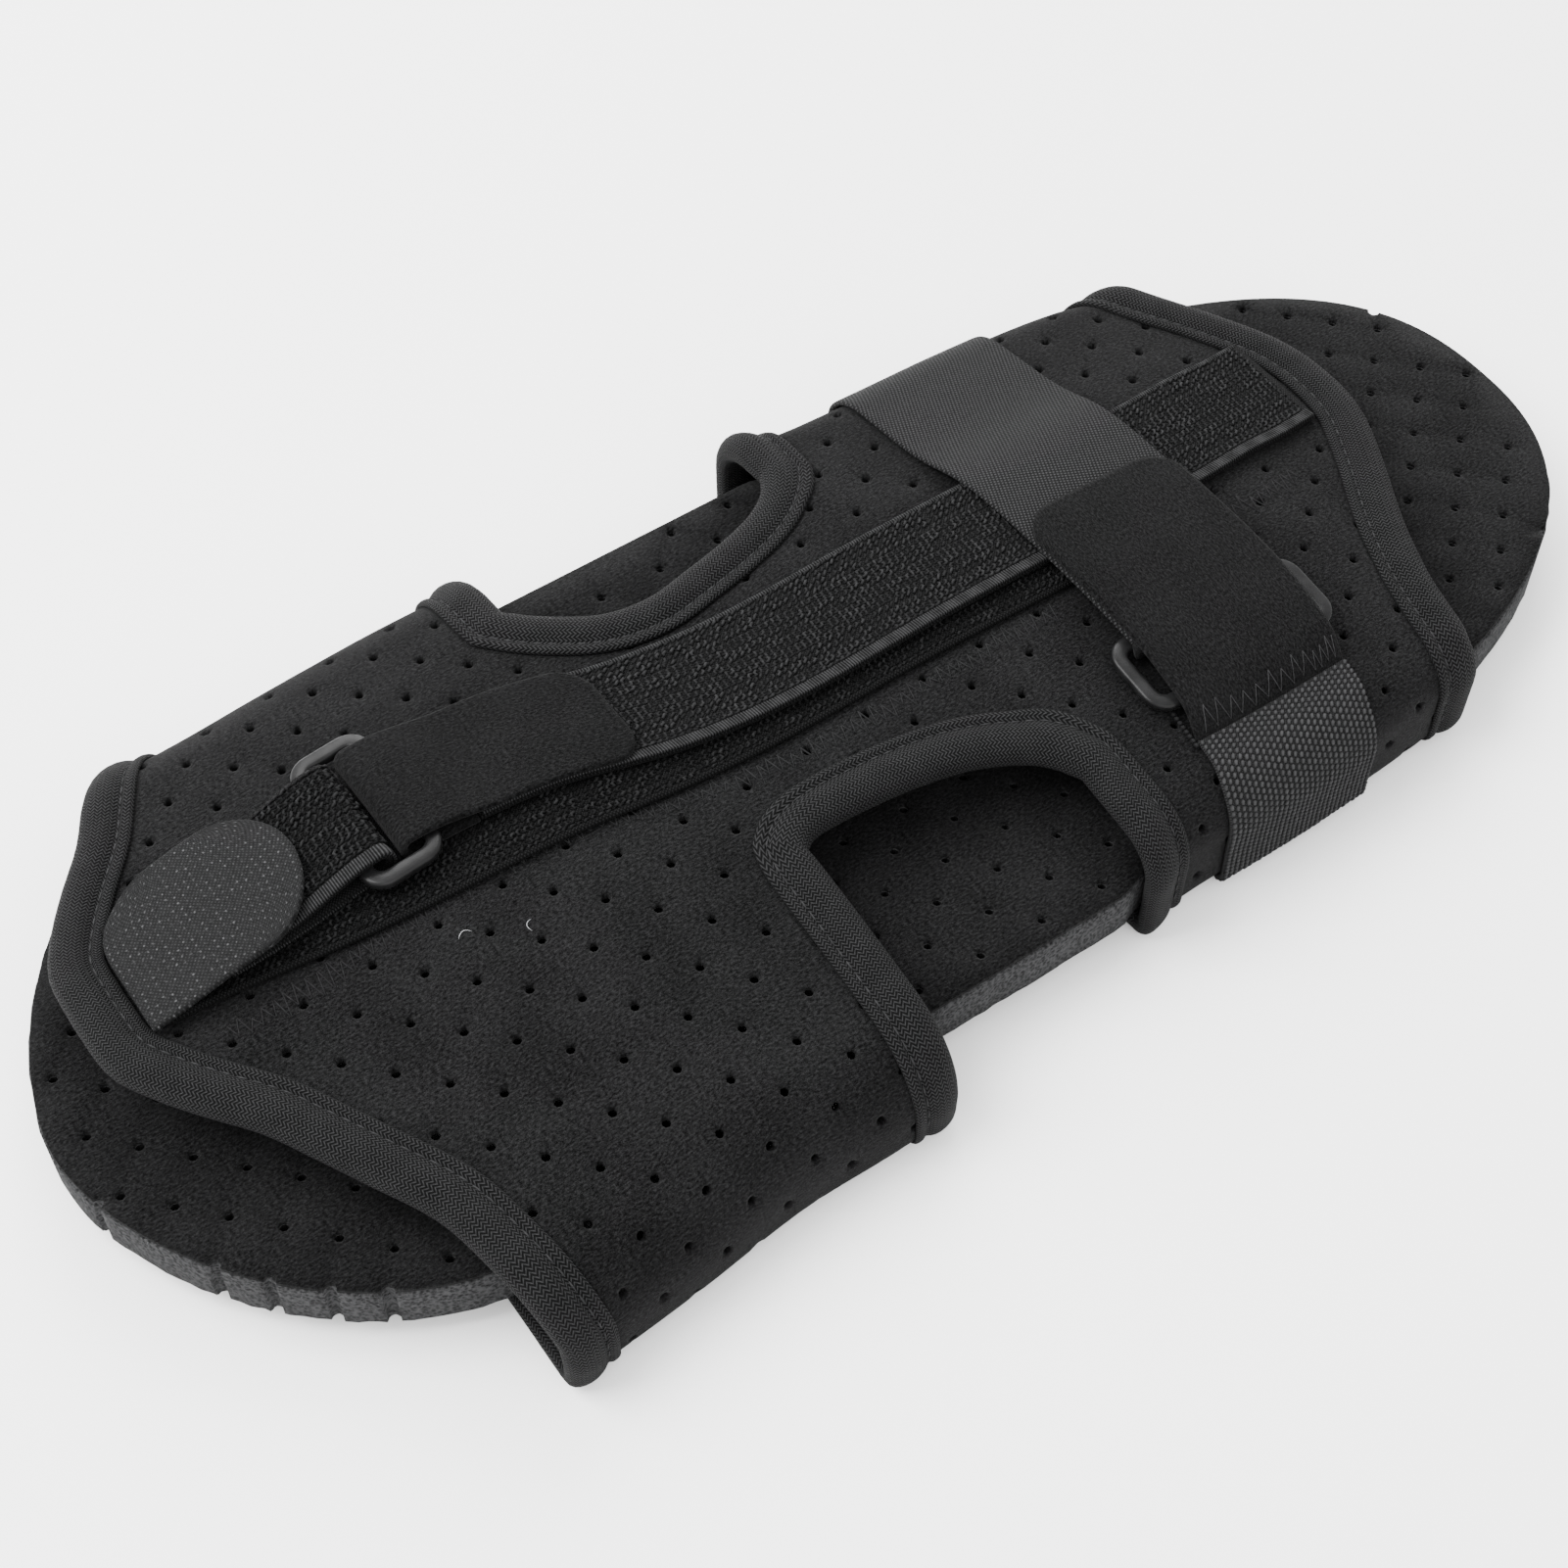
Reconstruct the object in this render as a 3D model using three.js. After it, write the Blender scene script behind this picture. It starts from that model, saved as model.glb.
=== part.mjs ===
// Foot drop orthosis, lying flat: a padded foot board inside a flocked wrap that closes round it in
// two bands, with a long strap along the top and a wide strap across it.
// Millimetres, +Z up. X runs along the foot board, +Y is the far side, the floor is at Z = 0.
import * as THREE from 'three';

// Clearance between neighbouring pieces
const GAP = 0.3;

// Foot board
const PAD_LENGTH = 339;
const PAD_WIDTH = 127;
const PAD_THICKNESS = 12;
const COVER_THICKNESS = 1;
const BOTTOM_COVER_THICKNESS = 0.6;
const LEFT_END_LENGTH = 58.4;
const LEFT_END_POWER = 1.71;
const RIGHT_END_LENGTH = 121.7;
const RIGHT_END_POWER = 2.4;
const PAD_END_STEPS = 13;
const PAD_SIDE_STEPS = 10;
const PAD_SQUEEZE = 3;

// Wrap
const WRAP_WALL = 2.2;
const WRAP_CREST = 31.8;
const WRAP_SLACK = 10;
const SHOULDER_RADIUS = 18;
const FLOOR_CORNER_RADIUS = 3.4;

// Ends of the wrap: where its bands end, and how far its tongues reach past that
const LEFT_BAND_END = 115;
const LEFT_TONGUE = 41;
const LEFT_TONGUE_SPREAD = 100;
const LEFT_TONGUE_CENTRE = 19;
const RIGHT_BAND_END = 111;
const RIGHT_TONGUE = 23;
const RIGHT_TONGUE_SPREAD = 70;
const RIGHT_TONGUE_CENTRE = 12;

// Side cut-outs between the bands, measured from the middle of the board and the crest line
const FRONT_OPENING_LEFT = 28;
const FRONT_OPENING_RIGHT = 24;
const FRONT_OPENING_DEPTH = 25;
const FRONT_OPENING_DROP = 18;
const BACK_OPENING_LEFT = 44;
const BACK_OPENING_RIGHT = 17;
const BACK_OPENING_DEPTH = 41;
const BACK_OPENING_DROP = 11;

// Binding round every cut edge of the wrap
const TAPE = 1.2;
const BINDING_BEAD = 2.5;
const BINDING_WIDTH = 9;
const BINDING_INSIDE_WIDTH = 7;
const BINDING_INSIDE = 0.5;

// Straps that run along the board
const STRAP_WIDTH = 26;
const STRAP_THICKNESS = 1.8;
const LOOP_STRIP_WIDTH = 25;
const LOOP_STRIP_THICKNESS = 1.4;
const LOOP_STRIP_END = 62;
const TAB_THICKNESS = 1.5;
const TAB_LENGTH = 41;
const TAB_CORNER = 7;
const TAB_LEG = 8;
const TAB_DROP = 12;
const HOLDER_END = -125;
const HOLDER_LAP = 4;
const HOLDER_DROP = 14;
const RAMP = 5;
const STOP_SHARE = 1.25;
const FOLD_GAP = 3 * GAP;

// Rings, both of flat bar with round ends
const RING_BAR = 3.2;
const RING_THICKNESS = 2.2;
const RING_CORNER = 5;
const SMALL_RING_LENGTH = 17;
const SMALL_RING_WIDTH = 35;
const SMALL_RING_X = -92;
const LARGE_RING_LENGTH = 46;
const LARGE_RING_WIDTH = 18;
const LARGE_RING_ACROSS = -35;

// Grey patch at the left end
const PATCH_THICKNESS = 1.4;
const PATCH_WIDTH = 30;
const PATCH_SETBACK = 9;
const PATCH_FOOT = 2;
const PATCH_TIP_RISE = 1.5;

// Strap across the board
const WIDE_STRAP_WIDTH = 37;
const WIDE_STRAP_X = 65.5;
const WIDE_STRAP_THICKNESS = 1.2;
const WIDE_TAB_THICKNESS = 1.5;
const WIDE_LEG = 13;
const WIDE_TAB_END = 6;
const WIDE_TAB_CORNER = 8;
const WEBBING_TOP = -51;

const HALF_LENGTH = PAD_LENGTH / 2;
const HALF_WIDTH = PAD_WIDTH / 2;

// The wrap stands on its webbing and bindings, and the board lies on the bindings inside
const WRAP_BASE = WIDE_STRAP_THICKNESS + GAP;
const BOARD_ROOM = BINDING_INSIDE + 2 * GAP;
const PAD_BASE = WRAP_BASE + WRAP_WALL + BOARD_ROOM;
const PAD_TOP = PAD_BASE + PAD_THICKNESS;

// Offsets of each layer above the outer face of the wrap
const STRIP_LEVEL = GAP;
const STRAP_LEVEL = STRIP_LEVEL + LOOP_STRIP_THICKNESS + GAP;
const SMALL_RING_LEVEL = STRAP_LEVEL + TAB_THICKNESS + GAP;
const TAB_LEVEL = SMALL_RING_LEVEL + RING_THICKNESS + GAP;
const LARGE_RING_LEVEL = GAP + WIDE_STRAP_THICKNESS + GAP;
const WIDE_TOP_LEVEL = LARGE_RING_LEVEL + RING_THICKNESS + GAP;
const WIDE_TAB_LEVEL = WIDE_TOP_LEVEL + WIDE_STRAP_THICKNESS + GAP;

// Sections of the wrap along the board. Shares: at of half the length, slack of the loose room
// beside the board, shift of half the width, crest of the crest's height, shoulder of its radius,
// side of the board's upper face, for the top of the upright side.
const SECTIONS = [
  { at: -1.0, slack: 0.94, shift: -0.1, crest: 1.0, shoulder: 1.0, side: 0.54 },
  { at: -0.68, slack: 0.95, shift: -0.096, crest: 1.0, shoulder: 1.0, side: 0.54 },
  { at: -0.52, slack: 0.945, shift: -0.067, crest: 1.0, shoulder: 1.0, side: 0.54 },
  { at: -0.37, slack: 0.86, shift: -0.035, crest: 1.0, shoulder: 1.0, side: 0.54 },
  { at: -0.22, slack: 0.82, shift: -0.038, crest: 1.0, shoulder: 0.95, side: 0.57 },
  { at: -0.12, slack: 0.6, shift: -0.03, crest: 1.0, shoulder: 0.85, side: 0.65 },
  { at: 0.13, slack: 0.22, shift: 0.02, crest: 1.0, shoulder: 0.62, side: 1.0 },
  { at: 0.36, slack: 0.17, shift: 0.024, crest: 1.0, shoulder: 0.6, side: 0.97 },
  { at: 0.585, slack: 0.15, shift: 0.02, crest: 0.95, shoulder: 0.55, side: 0.95 },
  { at: 0.67, slack: 0.14, shift: 0.006, crest: 0.89, shoulder: 0.5, side: 0.95 },
  { at: 0.83, slack: 0.7, shift: 0.0, crest: 0.81, shoulder: 0.4, side: 0.85 },
];

// How far the tight band squeezes the board's edges. Shares: at of half the length, depth of the
// squeeze.
const SQUEEZE = [
  { at: 0.12, depth: 0.0 },
  { at: 0.18, depth: 1.0 },
  { at: 0.42, depth: 1.0 },
  { at: 0.55, depth: 0.7 },
  { at: 0.64, depth: 0.4 },
  { at: 0.68, depth: 0.0 },
];

// How far a tongue reaches, by the distance from its middle. Shares: off of the tongue's spread,
// reach of its length.
const LEFT_TONGUE_SHAPE = [
  { off: 0.0, reach: 1.0 },
  { off: 0.12, reach: 0.98 },
  { off: 0.2, reach: 0.88 },
  { off: 0.28, reach: 0.74 },
  { off: 0.36, reach: 0.585 },
  { off: 0.45, reach: 0.46 },
  { off: 0.54, reach: 0.34 },
  { off: 0.67, reach: 0.17 },
  { off: 0.8, reach: 0.09 },
  { off: 1.0, reach: 0.0 },
];
const RIGHT_TONGUE_SHAPE = [
  { off: 0.0, reach: 1.0 },
  { off: 0.08, reach: 0.99 },
  { off: 0.2, reach: 0.91 },
  { off: 0.37, reach: 0.67 },
  { off: 0.54, reach: 0.4 },
  { off: 0.66, reach: 0.24 },
  { off: 0.8, reach: 0.1 },
  { off: 1.0, reach: 0.0 },
];

// Upper edge of each side cut-out. Shares: along from its left corner to its right one, drop of how
// far the edge falls towards the side.
const FRONT_OPENING_SHAPE = [
  { along: 0.0, drop: 0.14 },
  { along: 0.05, drop: 0.03 },
  { along: 0.14, drop: 0.0 },
  { along: 0.32, drop: 0.06 },
  { along: 0.5, drop: 0.17 },
  { along: 0.68, drop: 0.34 },
  { along: 0.84, drop: 0.6 },
  { along: 0.94, drop: 0.86 },
  { along: 1.0, drop: 1.15 },
];
const BACK_OPENING_SHAPE = [
  { along: 0.0, drop: 1.4 },
  { along: 0.1, drop: 0.8 },
  { along: 0.24, drop: 0.22 },
  { along: 0.4, drop: 0.0 },
  { along: 0.56, drop: 0.08 },
  { along: 0.72, drop: 0.2 },
  { along: 0.86, drop: 0.42 },
  { along: 0.96, drop: 0.8 },
  { along: 1.0, drop: 1.2 },
];

// Middle line of the long strap and of the loop strip under it. Shares: at of half the length,
// across of the strap's width, from the crest.
const STRAP_LINE = [
  { at: -1.0, across: 0.85 },
  { at: -0.72, across: 0.91 },
  { at: -0.54, across: 0.98 },
  { at: -0.36, across: 0.84 },
  { at: -0.2, across: 0.59 },
  { at: 0.0, across: 0.42 },
  { at: 0.29, across: 0.37 },
  { at: 0.53, across: 0.42 },
  { at: 0.73, across: 0.58 },
];
const STRIP_LINE = [
  { at: -1.0, across: 0.88 },
  { at: -0.77, across: 0.82 },
  { at: -0.55, across: 0.62 },
  { at: -0.24, across: 0.38 },
  { at: 0.15, across: 0.19 },
  { at: 0.4, across: 0.15 },
];

// Sideways run of the strap across the board. Columns: zone round the wrap, shift as a share of the
// strap's width.
const WIDE_STRAP_LINE = [
  { zone: -5.0, shift: 0.0 },
  { zone: -3.0, shift: -0.07 },
  { zone: -1.5, shift: -0.06 },
  { zone: -0.6, shift: 0.02 },
  { zone: 0.0, shift: 0.0 },
  { zone: 0.9, shift: -0.07 },
  { zone: 2.0, shift: -0.08 },
  { zone: 5.0, shift: 0.0 },
];

// Zones round the wrap, counted from the crest and negative on the near side: where its top arc, its
// shoulder, its upright side and its corner at the floor end, and the middle of the underside
const ARC_END = 1;
const SHOULDER_END = 2;
const SIDE_END = 3;
const CORNER_END = 4;
const ZONES = 5;

// Rows round the wrap
const SHOULDER_STEPS = 6;
const CORNER_STEPS = 3;
const UNDERSIDE_STEPS = 3;
const SPINE_STEPS = 13;
const LEFT_TOP_STEPS = { front: 4, back: 2 };
const RIGHT_TOP_STEPS = { front: 2, back: 1 };
const TOP_STEPS = 7;
const LEFT_BAND_STEPS = 8;
const RIGHT_BAND_STEPS = 8;
const SPINE_LENGTH_STEPS = 9;
const STOP_MARGIN = 0.02;
const EASE_ZONE = 0.25;
const EDGE_ROUNDS = 12;
const EDGE_STEP = 0.6;
const MITRE_LIMIT = 0.75;

// Steps of the straps and rings
const STRIP_ACROSS_STEPS = 3;
const TAB_ACROSS_STEPS = 8;
const WIDE_STRAP_STEPS = 4;
const LOOP_STRIP_RUN = [16];
const STRAP_RUN = [12, 1, 4];
const TAB_RUN = [2, 3];
const HOLDER_LEG_RUN = [4];
const HOLDER_TOP_RUN = [2, 1];
const PATCH_RUN = [1, 2, 2];
const FOLD_RUN = [3];
const FOLD_ROUND = 0.4;
const RING_STEPS = 24;

// Section of a ring's bar. Shares: inward of the bar's width, up of its thickness.
const RING_SECTION = [
  { inward: 0.0, up: 0.5 },
  { inward: 0.25, up: 0.0 },
  { inward: 0.75, up: 0.0 },
  { inward: 1.0, up: 0.5 },
  { inward: 0.75, up: 1.0 },
  { inward: 0.25, up: 1.0 },
];

// Upper face of the binding, from its flange over its bead to the cut edge. Shares: inset of the
// binding's width, height of its bead.
const BEAD_SECTION = [
  { inset: 0.95, height: 0.48 },
  { inset: 0.6, height: 0.6 },
  { inset: 0.25, height: 1.0 },
  { inset: -0.08, height: 0.6 },
];

const lerp = THREE.MathUtils.lerp;
const clamp = THREE.MathUtils.clamp;

// Value of a table's column at a place, on a smooth curve through the rows
function sample(table, key, column, place) {
  const last = table.length - 1;
  if (place <= table[0][key]) return table[0][column];
  if (place >= table[last][key]) return table[last][column];
  let row = 0;
  while (place > table[row + 1][key]) row += 1;
  const slope = (a, b) => (table[b][column] - table[a][column]) / (table[b][key] - table[a][key]);
  const span = table[row + 1][key] - table[row][key];
  const tangentFrom = row > 0 ? slope(row - 1, row + 1) : slope(row, row + 1);
  const tangentTo = row + 1 < last ? slope(row, row + 2) : slope(row, row + 1);
  const t = (place - table[row][key]) / span;
  const cubic = t * t * (3 - 2 * t);
  const leave = t * (1 - t) * (1 - t) * span * tangentFrom;
  const arrive = t * t * (1 - t) * span * tangentTo;
  return lerp(table[row][column], table[row + 1][column], cubic) + leave - arrive;
}

// Half width of the foot board at a place along it
function padHalfWidth(x) {
  const left = clamp((-HALF_LENGTH + LEFT_END_LENGTH - x) / LEFT_END_LENGTH, 0, 1);
  const right = clamp((x - HALF_LENGTH + RIGHT_END_LENGTH) / RIGHT_END_LENGTH, 0, 1);
  const leftShare = Math.pow(1 - Math.pow(left, LEFT_END_POWER), 1 / LEFT_END_POWER);
  const rightShare = Math.pow(1 - Math.pow(right, RIGHT_END_POWER), 1 / RIGHT_END_POWER);
  const squeeze = PAD_SQUEEZE * sample(SQUEEZE, 'at', 'depth', x / HALF_LENGTH);
  return HALF_WIDTH * leftShare * rightShare - squeeze;
}

// Section of the wrap's outer face: a wide arc on top, a shoulder, an upright side and a small corner
function wrapSection(x) {
  const share = (column) => sample(SECTIONS, 'at', column, x / HALF_LENGTH);
  const board = padHalfWidth(Math.max(x, LEFT_END_LENGTH - HALF_LENGTH));
  const half = board + BOARD_ROOM + WRAP_WALL + WRAP_SLACK * share('slack');
  const crest = WRAP_CREST * share('crest');
  const shoulder = SHOULDER_RADIUS * share('shoulder');
  const sideTop = PAD_TOP * share('side');
  const reach = half - shoulder;
  const rise = crest - sideTop - shoulder;
  const offset = (reach * reach + rise * rise) / (2 * rise);
  const angle = Math.asin(reach / offset);
  const top = offset + shoulder;
  const cornerTop = WRAP_BASE + FLOOR_CORNER_RADIUS;
  const lengths = [
    top * angle,
    shoulder * (Math.PI / 2 - angle),
    sideTop - cornerTop,
    (FLOOR_CORNER_RADIUS * Math.PI) / 2,
    half - FLOOR_CORNER_RADIUS,
  ];
  const shift = HALF_WIDTH * share('shift');
  return { half, crest, top, angle, shoulder, sideTop, cornerTop, lengths, shift };
}

// Distance round the section from the crest to a place in a zone, and back
function acrossOf(section, zone) {
  const size = Math.abs(zone);
  let across = 0;
  for (let i = 0; i < ZONES; i += 1) {
    across += section.lengths[i] * clamp(size - i, 0, 1);
  }
  return Math.sign(zone) * across;
}

function zoneOf(section, across) {
  let left = Math.abs(across);
  for (let i = 0; i < ZONES; i += 1) {
    if (left <= section.lengths[i]) return Math.sign(across) * (i + left / section.lengths[i]);
    left -= section.lengths[i];
  }
  return Math.sign(across) * ZONES;
}

// Place on the wrap's outer face, with a height above that face
function onWrap(x, zone, height) {
  const section = wrapSection(x);
  const size = Math.abs(zone);
  const part = clamp(Math.floor(size), 0, ZONES - 1);
  const t = size - part;
  const { half, crest, top, angle, shoulder, sideTop, cornerTop } = section;
  const corner = FLOOR_CORNER_RADIUS;
  const zones = [
    { y: 0, z: crest - top, radius: top, turn: angle * t },
    { y: half - shoulder, z: sideTop, radius: shoulder, turn: lerp(angle, Math.PI / 2, t) },
    { y: half, z: lerp(sideTop, cornerTop, t), radius: 0, turn: Math.PI / 2 },
    { y: half - corner, z: cornerTop, radius: corner, turn: (Math.PI / 2) * (1 + t) },
    { y: lerp(half - corner, 0, t), z: WRAP_BASE, radius: 0, turn: Math.PI },
  ];
  const { y, z, radius, turn } = zones[part];
  const outward = y + (radius + height) * Math.sin(turn);
  const side = zone < 0 ? -1 : 1;
  return new THREE.Vector3(x, section.shift + side * outward, z + (radius + height) * Math.cos(turn));
}

// The same, by the distance round the section from the crest
function onTop(x, across, height) {
  const section = wrapSection(x);
  const girth = acrossOf(section, ZONES);
  const past = Math.abs(across) > girth ? across - 2 * girth * Math.sign(across) : across;
  return onWrap(x, zoneOf(section, past), height);
}

// Cut edges of the wrap. The binding's bead reaches past the cut edge by its own thickness.
const EDGE_INSET = TAPE + GAP;

function leftEdge(across) {
  const off = Math.abs(across - LEFT_TONGUE_CENTRE) / LEFT_TONGUE_SPREAD;
  return EDGE_INSET - LEFT_BAND_END - LEFT_TONGUE * sample(LEFT_TONGUE_SHAPE, 'off', 'reach', off);
}

function rightEdge(across) {
  const off = Math.abs(across - RIGHT_TONGUE_CENTRE) / RIGHT_TONGUE_SPREAD;
  return RIGHT_BAND_END + RIGHT_TONGUE * sample(RIGHT_TONGUE_SHAPE, 'off', 'reach', off) - EDGE_INSET;
}

function frontOpening(along) {
  const x = lerp(-FRONT_OPENING_LEFT - EDGE_INSET, FRONT_OPENING_RIGHT + EDGE_INSET, along);
  const drop = FRONT_OPENING_DROP * sample(FRONT_OPENING_SHAPE, 'along', 'drop', along);
  return { x, across: EDGE_INSET - FRONT_OPENING_DEPTH - drop };
}

function backOpening(along) {
  const x = lerp(-BACK_OPENING_LEFT - EDGE_INSET, BACK_OPENING_RIGHT + EDGE_INSET, along);
  const drop = BACK_OPENING_DROP * sample(BACK_OPENING_SHAPE, 'along', 'drop', along);
  return { x, across: BACK_OPENING_DEPTH + drop - EDGE_INSET };
}

// Closed solid from points and triangles, turned so that its faces point out
function solid(points, triangles) {
  const volume = triangles.reduce((sum, [a, b, c]) => {
    return sum + points[a].dot(new THREE.Vector3().crossVectors(points[b], points[c]));
  }, 0);
  const faces = volume < 0 ? triangles.map(([a, b, c]) => [a, c, b]) : triangles;
  const geometry = new THREE.BufferGeometry();
  geometry.setAttribute('position', new THREE.Float32BufferAttribute(points.flatMap((p) => p.toArray()), 3));
  geometry.setIndex(faces.flat());
  geometry.computeVertexNormals();
  return geometry;
}

function quad(a, b, c, d) {
  return [[a, b, c], [a, c, d]];
}

// Solid lofted through rings of points, either back to the first ring or closed by two flat ends.
// An ended ring runs out along one face and back along the other, with the same number of points.
function loft(rings, ended) {
  const size = rings[0].length;
  const joins = ended ? rings.length - 1 : rings.length;
  const triangles = [];
  for (let k = 0; k < joins; k += 1) {
    const from = k * size;
    const to = ((k + 1) % rings.length) * size;
    for (let i = 0; i < size; i += 1) {
      const next = (i + 1) % size;
      triangles.push(...quad(from + i, from + next, to + next, to + i));
    }
  }
  if (ended) {
    const last = (rings.length - 1) * size;
    for (let i = 0; i < size / 2 - 1; i += 1) {
      const [a, b, c, d] = [i, i + 1, size - 2 - i, size - 1 - i];
      triangles.push(...quad(d, c, b, a), ...quad(last + a, last + b, last + c, last + d));
    }
  }
  return solid(rings.flat(), triangles);
}

// Foot board: its outline, and a layer of it between two heights
function padOutline() {
  const end = (tip, length, power) => {
    return Array.from({ length: PAD_END_STEPS }, (_, i) => {
      const out = Math.pow(Math.cos((Math.PI / 2) * (i / PAD_END_STEPS)), 2 / power);
      return tip * (HALF_LENGTH - length + length * out);
    });
  };
  const right = end(1, RIGHT_END_LENGTH, RIGHT_END_POWER);
  const left = end(-1, LEFT_END_LENGTH, LEFT_END_POWER).reverse();
  const from = HALF_LENGTH - RIGHT_END_LENGTH;
  const to = LEFT_END_LENGTH - HALF_LENGTH;
  const sides = Array.from({ length: PAD_SIDE_STEPS + 1 }, (_, i) => {
    return lerp(from, to, Math.pow(i / PAD_SIDE_STEPS, 2));
  });
  const places = [...right, ...sides, ...left];
  const back = places.map((x) => new THREE.Vector2(x, padHalfWidth(x)));
  const front = places.slice(1, -1).map((x) => new THREE.Vector2(x, -padHalfWidth(x)));
  return [...back, ...front.reverse()];
}

function padLayer(bottom, top) {
  const shape = new THREE.Shape(padOutline());
  const layer = new THREE.ExtrudeGeometry(shape, { depth: top - bottom, bevelEnabled: false });
  return layer.translate(0, 0, bottom);
}

// Rows of a band: places round the wrap, each with the two ends of its row along X
function bandRows(corners, steps) {
  const spaced = (from, to, count) => {
    return Array.from({ length: count }, (_, i) => lerp(from, to, i / count));
  };
  const spineStart = UNDERSIDE_STEPS + CORNER_STEPS + 1 + SHOULDER_STEPS + steps.front;
  const zones = [
    ...spaced(-ZONES, -CORNER_END, UNDERSIDE_STEPS),
    ...spaced(-CORNER_END, -SIDE_END, CORNER_STEPS),
    ...spaced(-SIDE_END, -SHOULDER_END, 1),
    ...spaced(-SHOULDER_END, -ARC_END, SHOULDER_STEPS),
    ...spaced(-ARC_END, corners[0], steps.front),
    ...corners.slice(0, -1),
    ...spaced(corners[corners.length - 1], ARC_END, steps.back),
    ...spaced(ARC_END, SHOULDER_END, SHOULDER_STEPS),
    ...spaced(SHOULDER_END, SIDE_END, 1),
    ...spaced(SIDE_END, CORNER_END, CORNER_STEPS),
    ...spaced(CORNER_END, ZONES, UNDERSIDE_STEPS),
  ];
  return { zones, spineStart };
}

// Where a row of given zone meets an end edge of the wrap
function edgePlace(edge, zone) {
  let x = edge(0);
  for (let i = 0; i < EDGE_ROUNDS; i += 1) {
    x = lerp(x, edge(acrossOf(wrapSection(x), zone)), EDGE_STEP);
  }
  return x;
}

// Inner edge of a band on the sides and the underside: straight, and slanting across the underside
function bandSide(front, back, zone) {
  const under = clamp(Math.abs(zone) - CORNER_END, 0, 1) / 2;
  return zone < 0 ? lerp(front, back, under) : lerp(back, front, under);
}

// The wrap as a grid of nodes, each a place along the board and a zone round it, and its cells
function wrapGrid() {
  const nodes = [];
  const cells = [];
  const node = (x, zone) => nodes.push({ x, zone, across: acrossOf(wrapSection(x), zone) }) - 1;
  const cornerZones = (at) => {
    return Array.from({ length: SPINE_STEPS + 1 }, (_, i) => {
      const front = frontOpening(at);
      const back = backOpening(at);
      const x = lerp(front.x, back.x, i / SPINE_STEPS);
      return zoneOf(wrapSection(x), lerp(front.across, back.across, i / SPINE_STEPS));
    });
  };
  const band = (at, columns, outerEdge, steps) => {
    const front = frontOpening(at);
    const back = backOpening(at);
    const { zones, spineStart } = bandRows(cornerZones(at), steps);
    const rows = zones.map((zone, r) => {
      const share = (r - spineStart) / SPINE_STEPS;
      const inSpine = share >= 0 && share <= 1;
      const inner = inSpine ? lerp(front.x, back.x, share) : bandSide(front.x, back.x, zone);
      const outer = edgePlace(outerEdge, zone);
      const [from, to] = at ? [inner, outer] : [outer, inner];
      return Array.from({ length: columns + 1 }, (_, c) => node(lerp(from, to, c / columns), zone));
    });
    rows.forEach((row, r) => {
      const next = rows[(r + 1) % rows.length];
      for (let c = 0; c < columns; c += 1) cells.push([row[c], row[c + 1], next[c + 1], next[c]]);
    });
    return rows.slice(spineStart, spineStart + SPINE_STEPS + 1).map((row) => row[at ? 0 : columns]);
  };
  const left = band(0, LEFT_BAND_STEPS, leftEdge, LEFT_TOP_STEPS);
  const right = band(1, RIGHT_BAND_STEPS, rightEdge, RIGHT_TOP_STEPS);
  const spine = left.map((start, r) => {
    const v = r / SPINE_STEPS;
    const a = nodes[start];
    const b = nodes[right[r]];
    const row = [start];
    for (let c = 1; c < SPINE_LENGTH_STEPS; c += 1) {
      const u = c / SPINE_LENGTH_STEPS;
      const front = frontOpening(u);
      const back = backOpening(u);
      const blend = (key) => {
        const sides = lerp(a[key], b[key], u);
        const ends = lerp(front[key], back[key], v);
        const f = lerp(nodes[left[0]][key], nodes[right[0]][key], u);
        const k = lerp(nodes[left[SPINE_STEPS]][key], nodes[right[SPINE_STEPS]][key], u);
        return sides + ends - lerp(f, k, v);
      };
      const x = blend('x');
      row.push(node(x, zoneOf(wrapSection(x), blend('across'))));
    }
    return [...row, right[r]];
  });
  for (let r = 0; r < SPINE_STEPS; r += 1) {
    for (let c = 0; c < SPINE_LENGTH_STEPS; c += 1) {
      cells.push([spine[r][c], spine[r][c + 1], spine[r + 1][c + 1], spine[r + 1][c]]);
    }
  }
  return { nodes, cells };
}

// Loops of the grid's free edges, each with the cloth on its left side
function freeEdges(cells) {
  const sides = cells.flatMap((cell) => cell.map((a, i) => [a, cell[(i + 1) % 4]]));
  const used = new Set(sides.map(([a, b]) => `${a} ${b}`));
  const next = new Map(sides.filter(([a, b]) => !used.has(`${b} ${a}`)));
  const loops = [];
  while (next.size > 0) {
    const loop = [];
    let at = next.keys().next().value;
    while (next.has(at)) {
      loop.push(at);
      const to = next.get(at);
      next.delete(at);
      at = to;
    }
    loops.push(loop);
  }
  return loops;
}

function wrapSolid({ nodes, cells }, loops) {
  const count = nodes.length;
  const outer = nodes.map(({ x, zone }) => onWrap(x, zone, 0));
  const inner = nodes.map(({ x, zone }) => onWrap(x, zone, -WRAP_WALL));
  const triangles = cells.flatMap(([a, b, c, d]) => {
    return [...quad(a, b, c, d), ...quad(count + d, count + c, count + b, count + a)];
  });
  loops.forEach((loop) => {
    loop.forEach((a, i) => {
      const b = loop[(i + 1) % loop.length];
      triangles.push(...quad(b, a, count + a, count + b));
    });
  });
  return solid([...outer, ...inner], triangles);
}

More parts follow.
